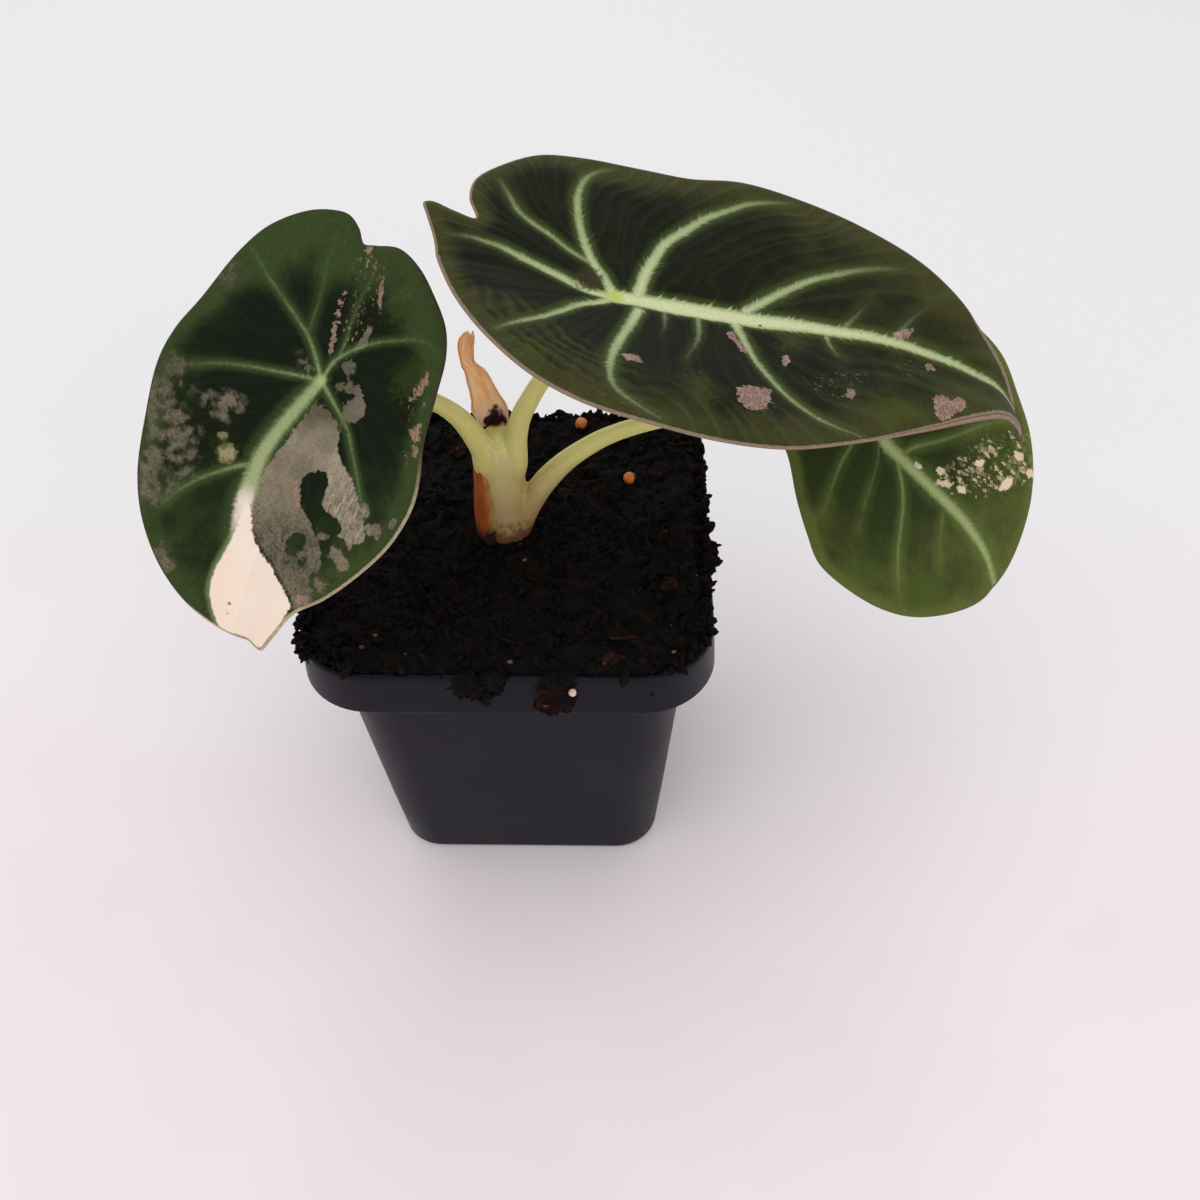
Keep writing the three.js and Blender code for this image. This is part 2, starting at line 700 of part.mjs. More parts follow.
/** A rounded grain; without a height of its own it lies half sunk in the soil. */
function grain([x, y, z], radius, detail, grow = 0) {
  const shape = new THREE.IcosahedronGeometry(radius + grow, detail);
  shape.translate(x, y, z ?? soilHeight(x, y) + radius * 0.55);
  return shape;
}

/** A flat chip of bark with uneven sides, placed and tilted. */
function chip({ at, half, tilt, turn = 0 }, grow = 0) {
  const shape = new THREE.CylinderGeometry(1, 0.86, 2, 7);
  shape.rotateX(Math.PI / 2);
  shape.scale(half[0] + grow, half[1] + grow, half[2] + grow);
  shape.rotateX(THREE.MathUtils.degToRad(tilt));
  shape.rotateZ(THREE.MathUtils.degToRad(turn));
  shape.translate(at[0], at[1], at[2] ?? soilHeight(at[0], at[1]) + half[2]);
  return shape;
}

function soil() {
  let body = soilBody();
  const cuts = [
    solid(potShell(GAP)),
    crownBody(GAP),
    rhizomeBody(GAP),
    brownSheathBody(GAP),
    solid(grain(BEAD, BEAD_RADIUS, 1, GAP)),
    solid(chip(RIM_CHIP, GAP)),
  ];
  for (const place of Object.values(PELLETS)) {
    cuts.push(solid(grain(place, PELLET_RADIUS, 2, GAP)));
  }
  for (const place of Object.values(CHIPS)) {
    cuts.push(solid(chip(place, GAP)));
  }
  for (const cut of cuts) {
    body = body.subtract(cut);
  }
  return largestBody(body);
}

// ---------------------------------------------------------------------------------------------
// The whole plant
// ---------------------------------------------------------------------------------------------

const plant = new THREE.Group();

/** Adds one named piece with its own material. */
function addPiece(name, geometry, color, roughness) {
  const material = new THREE.MeshStandardMaterial({ color, roughness, metalness: 0 });
  const mesh = new THREE.Mesh(geometry, material);
  mesh.name = name;
  plant.add(mesh);
}

addPiece("pot", pot(), COLOURS.pot, 0.45);
addPiece("soil", soil(), COLOURS.soil, 0.95);
addPiece("rhizome_and_roots", largestBody(rhizomeBody()), COLOURS.rhizome, 0.8);
addPiece("crown", crown(), COLOURS.crown, 0.5);
addPiece("brown_sheath", clearedSheath(brownSheathBody()), COLOURS.brownSheath, 0.7);
const withered = solid(sheathGeometry(WITHERED_STATIONS, SHEATH_THICKNESS));
addPiece("withered_sheath", clearedSheath(withered), COLOURS.witheredSheath, 0.8);
addPiece("petiole_left", petiole("petiole_left", "leaf_left"), COLOURS.petiole, 0.5);
addPiece("petiole_back", petiole("petiole_back", "leaf_back"), COLOURS.petiole, 0.5);
addPiece("petiole_right", petiole("petiole_right", "leaf_right"), COLOURS.petiole, 0.5);
addPiece("leaf_left", bladeGeometry(LEAVES.leaf_left), COLOURS.leafLeft, 0.7);
addPiece("leaf_back", bladeGeometry(LEAVES.leaf_back), COLOURS.leafBack, 0.75);
addPiece("leaf_right", bladeGeometry(LEAVES.leaf_right), COLOURS.leafRight, 0.65);
for (const [name, place] of Object.entries(PELLETS)) {
  addPiece(name, grain(place, PELLET_RADIUS, 2), COLOURS.pellet, 0.4);
}
addPiece("perlite_bead", grain(BEAD, BEAD_RADIUS, 1), COLOURS.bead, 0.8);
for (const [name, place] of Object.entries(CHIPS)) {
  addPiece(name, chip(place), COLOURS.bark, 0.9);
}
addPiece("bark_chip_rim", chip(RIM_CHIP), COLOURS.bark, 0.9);

export default plant;
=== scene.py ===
"""A potted, variegated black velvet alocasia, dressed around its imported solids.

Sizes and places are millimetres in the part's own frame: +Z up, -Y towards the pot's front and
the origin at the middle of the pot's foot. Meshes are turned into metres as they are made.
"""

from __future__ import annotations

import logging
import math
from dataclasses import dataclass, field
from enum import Enum
from typing import Sequence

import bpy
import numpy as np
from mathutils import Matrix, Vector, geometry

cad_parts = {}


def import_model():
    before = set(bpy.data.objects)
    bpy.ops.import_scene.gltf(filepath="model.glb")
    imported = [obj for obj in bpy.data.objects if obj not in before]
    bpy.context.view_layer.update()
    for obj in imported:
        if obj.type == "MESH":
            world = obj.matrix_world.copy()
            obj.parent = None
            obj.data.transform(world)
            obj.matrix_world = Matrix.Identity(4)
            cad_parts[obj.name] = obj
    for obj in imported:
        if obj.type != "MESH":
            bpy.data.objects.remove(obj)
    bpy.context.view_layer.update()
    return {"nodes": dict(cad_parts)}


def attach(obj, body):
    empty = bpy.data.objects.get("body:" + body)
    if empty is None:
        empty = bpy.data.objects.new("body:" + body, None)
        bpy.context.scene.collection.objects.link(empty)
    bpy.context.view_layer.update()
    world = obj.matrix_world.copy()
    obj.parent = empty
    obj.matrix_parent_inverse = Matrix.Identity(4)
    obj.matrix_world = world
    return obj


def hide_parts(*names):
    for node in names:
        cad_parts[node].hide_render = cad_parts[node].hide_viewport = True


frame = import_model()

logging.basicConfig(level=logging.INFO, format="%(message)s")
log = logging.getLogger("alocasia")

Array = np.ndarray
Point = tuple[float, float, float]
Spot = tuple[float, float]
Colour = tuple[float, float, float, float]
Socket = bpy.types.NodeSocket

MM = 0.001
BODY = "root"
VEIN_GAP = 60  # how far apart, along a vein, the grain of two veins is drawn
MARK_LIMITS = (-8.0, 4.0)  # the least and the most that a place counts as inside a marking


# ------------------------------------------------------------------------------------------
# Small tools
# ------------------------------------------------------------------------------------------


def tone(red: float, green: float, blue: float) -> Colour:
    """A linear colour from three display values of 0 to 255."""
    return (*[((v / 255 + 0.055) / 1.055) ** 2.4 if v > 10 else v / 3294 for v in (red, green, blue)], 1.0)


def spots(*values: float) -> tuple[Spot, ...]:
    """Pairs of numbers from a flat list."""
    return tuple(zip(values[::2], values[1::2]))


def triples(*values: float) -> tuple[Point, ...]:
    """Threes of numbers from a flat list."""
    return tuple(zip(values[::3], values[1::3], values[2::3]))


def ease(value: Array, start: float, end: float) -> Array:
    """Rises smoothly from 0 at start to 1 at end, and falls where end is the smaller."""
    share = np.clip((value - start) / (end - start), 0, 1)
    return share * share * (3 - 2 * share)


def unit(vectors: Array) -> Array:
    """Vectors of length one."""
    return vectors / np.maximum(np.linalg.norm(vectors, axis=-1, keepdims=True), 1e-12)


class Ripple:
    """A smooth, repeatable roll of the ground, summed from waves in seeded directions."""

    def __init__(self, seed: int, size: float, octaves: int = 3, dims: int = 3) -> None:
        """Draws the waves.

        Args:
            seed: fixes the directions and phases.
            size: the length of the longest wave.
            octaves: how often the length is halved.
            dims: how many coordinates a point has.
        """
        draw = np.random.default_rng(seed)
        waves = []
        for octave in range(octaves):
            turns = unit(draw.normal(size=(7, dims))) * (2 * math.pi * 2**octave / size)
            waves.append((turns, draw.uniform(0, 2 * math.pi, 7), 0.5**octave))
        self.waves = waves

    def __call__(self, points: Array) -> Array:
        """Values of about -1 to 1 at the points."""
        total = sum(
            weight * np.sin(points @ turns.T + phases).sum(axis=1)
            for turns, phases, weight in self.waves
        )
        return total / (2.6 * sum(weight for _, _, weight in self.waves))


def spline(points: Sequence[Sequence[float]], step: float, closed: bool = False) -> Array:
    """A smooth line through points.

    Args:
        points: what the line passes through, in any number of dimensions.
        step: about how far apart the samples lie.
        closed: whether the line returns to its start.

    Returns:
        The samples; a closed line's last sample doesn't repeat its first.
    """
    knots = np.asarray(points, float)
    if closed:
        padded = np.vstack([knots[-1:], knots, knots[:2]])
    else:
        padded = np.vstack([2 * knots[0] - knots[1], knots, 2 * knots[-1] - knots[-2]])
    samples = []
    for before, start, end, after in zip(padded, padded[1:], padded[2:], padded[3:]):
        pairs = ((before, start), (start, end), (end, after))
        gaps = [max(np.linalg.norm(b - a) ** 0.5, 1e-6) for a, b in pairs]
        leave = (start - before) / gaps[0] - (end - before) / (gaps[0] + gaps[1]) + (end - start) / gaps[1]
        reach = (end - start) / gaps[1] - (after - start) / (gaps[1] + gaps[2]) + (after - end) / gaps[2]
        leave, reach = leave * gaps[1], reach * gaps[1]
        count = max(2, round(np.linalg.norm(end - start) / step))
        share = np.linspace(0, 1, count, endpoint=False)[:, None]
        samples.append(
            (2 * share**3 - 3 * share**2 + 1) * start
            + (share**3 - 2 * share**2 + share) * leave
            + (-2 * share**3 + 3 * share**2) * end
            + (share**3 - share**2) * reach
        )
    if not closed:
        samples.append(knots[-1:])
    return np.vstack(samples)


def even(line: Array, count: int, closed: bool = False) -> Array:
    """Points spaced evenly along a line.

    Args:
        line: the line's samples.
        count: how many points.
        closed: whether the line returns to its start.

    Returns:
        The points.
    """
    loop = np.vstack([line, line[:1]]) if closed else line
    along = np.concatenate([[0], np.cumsum(np.linalg.norm(np.diff(loop, axis=0), axis=1))])
    places = np.linspace(0, along[-1], count, endpoint=not closed)
    return np.stack([np.interp(places, along, column) for column in loop.T], axis=1)


def line_reach(points: Array, line: Array) -> tuple[Array, Array, Array]:
    """How far points lie from a line in the plane.

    Args:
        points: the points.
        line: the line's corners.

    Returns:
        The distance, the place along the line, and 1 or -1 for the side.
    """
    best = np.full(len(points), 1e9)
    along = np.zeros(len(points))
    side = np.ones(len(points))
    start = 0.0
    for a, b in zip(line, line[1:]):
        run = b - a
        length = max(float(np.hypot(*run)), 1e-9)
        offset = points - a
        share = np.clip((offset @ run) / length**2, 0, 1)
        distance = np.hypot(*(offset - share[:, None] * run).T)
        nearer = distance < best
        best = np.where(nearer, distance, best)
        along = np.where(nearer, start + share * length, along)
        turn = run[0] * offset[:, 1] - run[1] * offset[:, 0]
        side = np.where(nearer, np.where(turn < 0, -1.0, 1.0), side)
        start += length
    return best, along, side


def inside_reach(points: Array, outline: Array) -> Array:
    """How far points lie inside an outline, below zero outside it."""
    loop = np.vstack([outline, outline[:1]])
    distance, _, _ = line_reach(points, loop)
    inside = np.zeros(len(points), bool)
    for (x0, y0), (x1, y1) in zip(loop, loop[1:]):
        crosses = (y0 > points[:, 1]) != (y1 > points[:, 1])
        rise = np.where(crosses, y1 - y0, 1.0)
        inside ^= crosses & (points[:, 0] < (x1 - x0) * (points[:, 1] - y0) / rise + x0)
    return np.where(inside, distance, -distance)


def linked(name: str, data: bpy.types.ID) -> bpy.types.Object:
    """A new object in the scene that holds some data."""
    made = bpy.data.objects.new(name, data)
    bpy.context.scene.collection.objects.link(made)
    return made


def smoothed(mesh: bpy.types.Mesh) -> bpy.types.Mesh:
    """The same mesh, shaded smooth."""
    mesh.polygons.foreach_set("use_smooth", [True] * len(mesh.polygons))
    return mesh


def mesh_object(name: str, points: Array, faces: Sequence[Sequence[int]]) -> bpy.types.Object:
    """A smooth-shaded mesh object at the origin.

    Args:
        name: the object's name.
        points: its corners, in millimetres.
        faces: its faces, anticlockwise from outside.

    Returns:
        The object, linked to the scene.
    """
    mesh = bpy.data.meshes.new(name)
    mesh.from_pydata((np.asarray(points) * MM).tolist(), [], [tuple(face) for face in faces])
    mesh.validate()
    smoothed(mesh).update()
    return linked(name, mesh)


def record(target: bpy.types.Object, name: str, *columns: Array) -> None:
    """Keeps one number or three for each corner of a mesh under a name."""
    table = np.column_stack(columns).astype(np.float32)
    kind, key = ("FLOAT", "value") if table.shape[1] == 1 else ("FLOAT_VECTOR", "vector")
    target.data.attributes.new(name, kind, "POINT").data.foreach_set(key, table.ravel())


def corners(target: bpy.types.Object) -> Array:
    """A mesh object's corners, in millimetres."""
    flat = np.zeros(len(target.data.vertices) * 3, np.float32)
    target.data.vertices.foreach_get("co", flat)
    return flat.reshape(-1, 3).astype(float) / MM


def settle(target: bpy.types.Object) -> bpy.types.Object:
    """Turns an object's modifiers into plain mesh and returns the object."""
    shown = target.evaluated_get(bpy.context.evaluated_depsgraph_get())
    plain = bpy.data.meshes.new_from_object(shown)
    target.modifiers.clear()
    target.data = smoothed(plain)
    return target


def ring_faces(rows: int, columns: int, wrap: bool = True) -> list[tuple[int, ...]]:
    """The four-sided faces between rows of corners that run anticlockwise seen from the last row."""
    faces = []
    for row in range(0, (rows - 1) * columns, columns):
        for c in range(columns if wrap else columns - 1):
            following = row + (c + 1) % columns
            faces.append((row + c, following, following + columns, row + columns + c))
    return faces


def capped_tube(rings: Array) -> tuple[Array, list[tuple[int, ...]]]:
    """A closed body through rings of corners.

    Args:
        rings: rows by columns by three coordinates, anticlockwise seen from the last row.

    Returns:
        The corners and the faces.
    """
    rows, columns, _ = rings.shape
    points = np.vstack([rings.reshape(-1, 3), rings[0].mean(axis=0), rings[-1].mean(axis=0)])
    faces = ring_faces(rows, columns)
    first, last = rows * columns, rows * columns + 1
    for c in range(columns):
        following = (c + 1) % columns
        faces.append((first, following, c))
        faces.append((last, first - columns + c, first - columns + following))
    return points, faces


def at_height(ring: Array, height: float) -> Array:
    """The corners of a flat ring, lifted to a height."""
    return np.column_stack([ring, np.full(len(ring), height)])


def circle(count: int) -> Array:
    """Points anticlockwise around the unit circle."""
    turns = np.linspace(0, 2 * math.pi, count, endpoint=False)
    return np.stack([np.cos(turns), np.sin(turns)], axis=1)


def rounded_square(half: float, corner: float, per_corner: int, per_side: int) -> Array:
    """Points anticlockwise around a square with rounded corners."""
    points = []
    centre = half - corner
    for quarter in range(4):
        start = quarter * math.pi / 2
        cx = centre * (1 if quarter in (0, 3) else -1)
        cy = centre * (1 if quarter in (0, 1) else -1)
        for step in range(per_corner + 1):
            angle = start + step / per_corner * math.pi / 2
            points.append((cx + corner * math.cos(angle), cy + corner * math.sin(angle)))
        fx, fy = points[-1]
        for step in range(1, per_side):
            share = 2 * centre * step / per_side
            points.append((fx - share * math.cos(start), fy - share * math.sin(start)))
    return np.array(points)


# ------------------------------------------------------------------------------------------
# Writing materials and Geometry Nodes
# ------------------------------------------------------------------------------------------


def feed(tree: bpy.types.NodeTree, node: bpy.types.Node, inputs: dict) -> None:
    """Links sockets to a node's inputs, by name or index, or sets the inputs' own values."""
    for key, value in inputs.items():
        if isinstance(value, bpy.types.NodeSocket):
            tree.links.new(value, node.inputs[key])
        else:
            node.inputs[key].default_value = value


def add_node(tree: bpy.types.NodeTree, kind: str, inputs: dict | None, settings: dict) -> bpy.types.Node:
    """Adds a node to a tree, with its settings and its inputs."""
    made = tree.nodes.new(kind)
    for key, value in settings.items():
        setattr(made, key, value)
    feed(tree, made, inputs or {})
    return made


class Paint:
    """Writes a material's nodes in few words."""

    def __init__(self, name: str) -> None:
        """Starts a material with one principled shader."""
        self.material = bpy.data.materials.new(name)
        self.material.use_nodes = True
        self.tree = self.material.node_tree
        self.shader = next(n for n in self.tree.nodes if n.type == "BSDF_PRINCIPLED")

    def node(self, kind: str, inputs: dict | None = None, **settings: object) -> bpy.types.Node:
        """Adds a node.

        Args:
            kind: the node's type, without its ShaderNode prefix.
            inputs: values or sockets for its inputs, by name or index.
            settings: its own properties.

        Returns:
            The node.
        """
        return add_node(self.tree, "ShaderNode" + kind, inputs, settings)

    def place(self) -> Socket:
        """The object's own coordinates, in metres."""
        return self.node("TexCoord").outputs["Object"]

    def kept(self, name: str) -> Socket:
        """The three numbers kept on the mesh under a name."""
        return self.node("Attribute", attribute_name=name).outputs["Vector"]

    def parts(self, vector: Socket) -> list[Socket]:
        """A vector's three numbers."""
        return list(self.node("SeparateXYZ", {0: vector}).outputs)

    def joined(self, x: object, y: object, z: object = 0.0) -> Socket:
        """A vector from three numbers."""
        return self.node("CombineXYZ", {0: x, 1: y, 2: z}).outputs[0]

    def sum_vector(self, vector: Socket, push: Socket) -> Socket:
        """A vector pushed along its diagonal."""
        return self.node("VectorMath", {0: vector, 1: push}, operation="ADD").outputs[0]

    def gap(self, vector: Socket, point: Point) -> Socket:
        """The distance from a point."""
        return self.node("VectorMath", {0: vector, 1: point}, operation="DISTANCE").outputs["Value"]

    def scaled(self, vector: Socket, *scale: float) -> Socket:
        """A vector stretched along its axes."""
        return self.node("Mapping", {"Vector": vector, "Scale": scale}).outputs[0]

    def step(self, operation: str, *numbers: object) -> Socket:
        """The result of one step of arithmetic."""
        return self.node("Math", dict(enumerate(numbers)), operation=operation).outputs[0]

    def sum(self, a: object, b: object) -> Socket:
        """a + b."""
        return self.step("ADD", a, b)

    def less(self, a: object, b: object) -> Socket:
        """a - b."""
        return self.step("SUBTRACT", a, b)

    def times(self, a: object, b: object) -> Socket:
        """a times b."""
        return self.step("MULTIPLY", a, b)

    def most(self, a: object, b: object) -> Socket:
        """The larger of two numbers."""
        return self.step("MAXIMUM", a, b)

    def sine(self, angle: object) -> Socket:
        """The sine of a number."""
        return self.step("SINE", angle)

    def swing(self, pattern: object, size: object) -> Socket:
        """A pattern of 0 to 1, made to swing about 0 and scaled."""
        return self.times(self.less(pattern, 0.5), size)

    def mix_number(self, share: object, a: object, b: object) -> Socket:
        """A number between a and b."""
        return self.node("Mix", {0: share, 2: a, 3: b}, data_type="FLOAT").outputs[0]

    def span(self, value: object, start: float, end: float, low: float = 0.0, high: float = 1.0) -> Socket:
        """Moves smoothly from low to high as a value goes from start to end, and stays there."""
        limits = (end, start, high, low) if start > end else (start, end, low, high)
        inputs = dict(enumerate((value, *limits)))
        return self.node("MapRange", inputs, interpolation_type="SMOOTHSTEP").outputs[0]

    def grain(
        self, vector: Socket, scale: float, detail: float = 3.0, rough: float = 0.55, bend: float = 0.0
    ) -> Socket:
        """Cloudy noise of 0 to 1."""
        values = {"Vector": vector, "Scale": scale, "Detail": detail, "Roughness": rough, "Distortion": bend}
        return self.node("TexNoise", values).outputs[0]

    def cells(self, vector: Socket, scale: float, feature: str = "F1") -> bpy.types.Node:
        """A pattern of cells."""
        return self.node("TexVoronoi", {"Vector": vector, "Scale": scale}, feature=feature)

    def mix(self, share: object, a: object, b: object) -> Socket:
        """A colour between a and b."""
        return self.node("Mix", {0: share, 6: a, 7: b}, data_type="RGBA").outputs[2]

    def coats(self, colour: object, *coats: tuple[object, object]) -> Socket:
        """A colour that is painted over, coat after coat, each with a share and a colour."""
        for share, over in coats:
            colour = self.mix(share, colour, over)
        return colour

    def darker(self, colour: Socket, share: Socket) -> Socket:
        """A colour with its brightness multiplied."""
        inputs = {0: 1.0, 6: colour, 7: self.node("CombineColor", {0: share, 1: share, 2: share}).outputs[0]}
        return self.node("Mix", inputs, data_type="RGBA", blend_type="MULTIPLY").outputs[2]

    def relief(self, *patterns: tuple[Socket, float]) -> Socket:
        """A bumped normal.

        Args:
            patterns: the height of each pattern, of about 0 to 1, and its depth in millimetres.

        Returns:
            The normal.
        """
        under: dict[str, Socket] = {}
        for height, depth in patterns:
            made = self.node("Bump", {"Height": height, "Distance": depth * MM, "Strength": 1.0, **under})
            under = {"Normal": made.outputs[0]}
        return under["Normal"]

    def finish(self, **sockets: object) -> bpy.types.Material:
        """Sets the shader's sockets, named with underscores for spaces, and returns the material."""
        feed(self.tree, self.shader, {key.replace("_", " "): value for key, value in sockets.items()})
        return self.material


class Recipe:
    """Writes a Geometry Nodes tree in few words."""

    def __init__(self, name: str, sizes: dict[str, float | int]) -> None:
        """Starts a tree.

        Args:
            name: the tree's name.
            sizes: its named inputs with their starting values.
        """
        self.tree = bpy.data.node_groups.new(name, "GeometryNodeTree")
        interface = self.tree.interface
        interface.new_socket("Geometry", in_out="OUTPUT", socket_type="NodeSocketGeometry")
        interface.new_socket("Geometry", in_out="INPUT", socket_type="NodeSocketGeometry")
        self.names: dict[str, str] = {}
        for label, value in sizes.items():
            kind = "NodeSocketInt" if isinstance(value, int) else "NodeSocketFloat"
            made = interface.new_socket(label, in_out="INPUT", socket_type=kind)
            made.default_value = value
            self.names[label] = made.identifier
        self.start = self.tree.nodes.new("NodeGroupInput")
        self.end = self.tree.nodes.new("NodeGroupOutput")

    def node(self, kind: str, inputs: dict | None = None, **settings: object) -> bpy.types.Node:
        """Adds a node, whose type is given without its GeometryNode prefix, and feeds its inputs."""
        known = kind.startswith(("Shader", "Function"))
        return add_node(self.tree, kind if known else "GeometryNode" + kind, inputs, settings)

    def named(self, name: str) -> Socket:
        """The number kept on the mesh under a name."""
        return self.node("InputNamedAttribute", {"Name": name}, data_type="FLOAT").outputs["Attribute"]

    def size(self, label: str) -> Socket:
        """The socket of a named input."""
        return self.start.outputs[label]

    def close(self, shape: Socket, material: bpy.types.Material) -> Recipe:
        """Ends the tree in real faces with a material, and returns the recipe."""
        real = self.node("RealizeInstances", {0: shape})
        dressed = self.node("SetMaterial", {0: real.outputs[0], "Material": material})
        self.tree.links.new(dressed.outputs[0], self.end.inputs[0])
        return self

    def apply(self, target: bpy.types.Object, **sizes: float | int) -> bpy.types.Object:
        """Runs the tree on an object.

        Args:
            target: the object that goes in.
            sizes: values for the named inputs.

        Returns:
            The object with the result as its plain mesh.
        """
        modifier = target.modifiers.new(self.tree.name, "NODES")
        modifier.node_group = self.tree
        for label, value in sizes.items():
            modifier[self.names[label]] = value
        return settle(target)


def place_piece(
    piece: bpy.types.Object, slot: str, *nodes: str, skin: bpy.types.Material | None = None
) -> bpy.types.Object:
    """Puts a finished piece on the part and returns it.

    Args:
        piece: the piece.
        slot: the record's material slot; not used.
        nodes: the solids that it stands for.
        skin: its material, where the piece doesn't have one yet.
    """
    if skin is not None:
        piece.data.materials.clear()
        piece.data.materials.append(skin)
    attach(piece, BODY)
    if nodes:
        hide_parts(*nodes)
    log.info("%s: %d faces", piece.name, len(piece.data.polygons))
    return piece


# ------------------------------------------------------------------------------------------
# Blades
# ------------------------------------------------------------------------------------------


class MarkKind(Enum):
    """What a marking on a blade is."""

    CREAM = "cream"
    GREY = "grey"
    GREEN = "green"  # green left standing inside the grey
    PINK = "pink"
    FLECKS = "flecks"
    LIME = "lime"
    NET = "net"  # a paler, fibrous part of the grey


@dataclass(frozen=True)
class Vein:
    """A main vein: its path, and its widths and paleness spaced evenly along it."""

    path: tuple[Spot, ...]
    widths: tuple[float, ...]
    pale: tuple[float, ...] = (0.8, 0.7, 0.4, 0.1)


@dataclass(frozen=True)
class BladeForm:
    """A blade's middle surface: `s` runs from the petiole to the tip and `t` across."""

    node: Point
    tipward: Point
    facing: Point
    arch: float
    rear_arch: float
    droop_start: float
    droop_radius: float
    rise: Spot  # slope from the midrib towards +t and towards -t
    roll: Spot  # how fast each slope falls off, per mm
    twist: float

    def at(self, st: Array) -> Array:
        """Points of the middle surface.

        Args:
            st: the places on the blade, one row each.

        Returns:
            The points in the part's frame.
        """
        s, t = st[:, 0], st[:, 1]
        front = np.clip(s, 0, self.droop_start)
        droop = np.maximum(s - self.droop_start, 0) / self.droop_radius
        rear = np.minimum(s, 0)
        bend = self.arch * front
        along = np.sin(bend) / self.arch + self.droop_radius * (np.sin(bend + droop) - np.sin(bend))
        drop = (1 - np.cos(bend)) / self.arch + self.droop_radius * (np.cos(bend) - np.cos(bend + droop))
        along = along + np.sin(self.rear_arch * rear) / self.rear_arch
        drop = drop + (1 - np.cos(self.rear_arch * rear)) / self.rear_arch
        lean = bend + droop + self.rear_arch * rear
        left = t > 0
        lift = np.where(left, self.rise[0], self.rise[1]) * np.abs(t)
        lift = lift - np.where(left, self.roll[0], self.roll[1]) * t * t + self.twist * s * t
        facing = unit(np.array(self.facing))
        tipward = np.array(self.tipward)
        tipward = unit(tipward - facing * (tipward @ facing))
        across = np.cross(facing, tipward)
        return (
            np.array(self.node)
            + np.outer(along + lift * np.sin(lean), tipward)
            + np.outer(t, across)
            + np.outer(lift * np.cos(lean) - drop, facing)
        )

    def normals(self, st: Array) -> Array:
        """The directions out of the upper face."""
        step = 0.4
        run_s = self.at(st + [step, 0]) - self.at(st - [step, 0])
        run_t = self.at(st + [0, step]) - self.at(st - [0, step])
        return unit(np.cross(run_s, run_t))


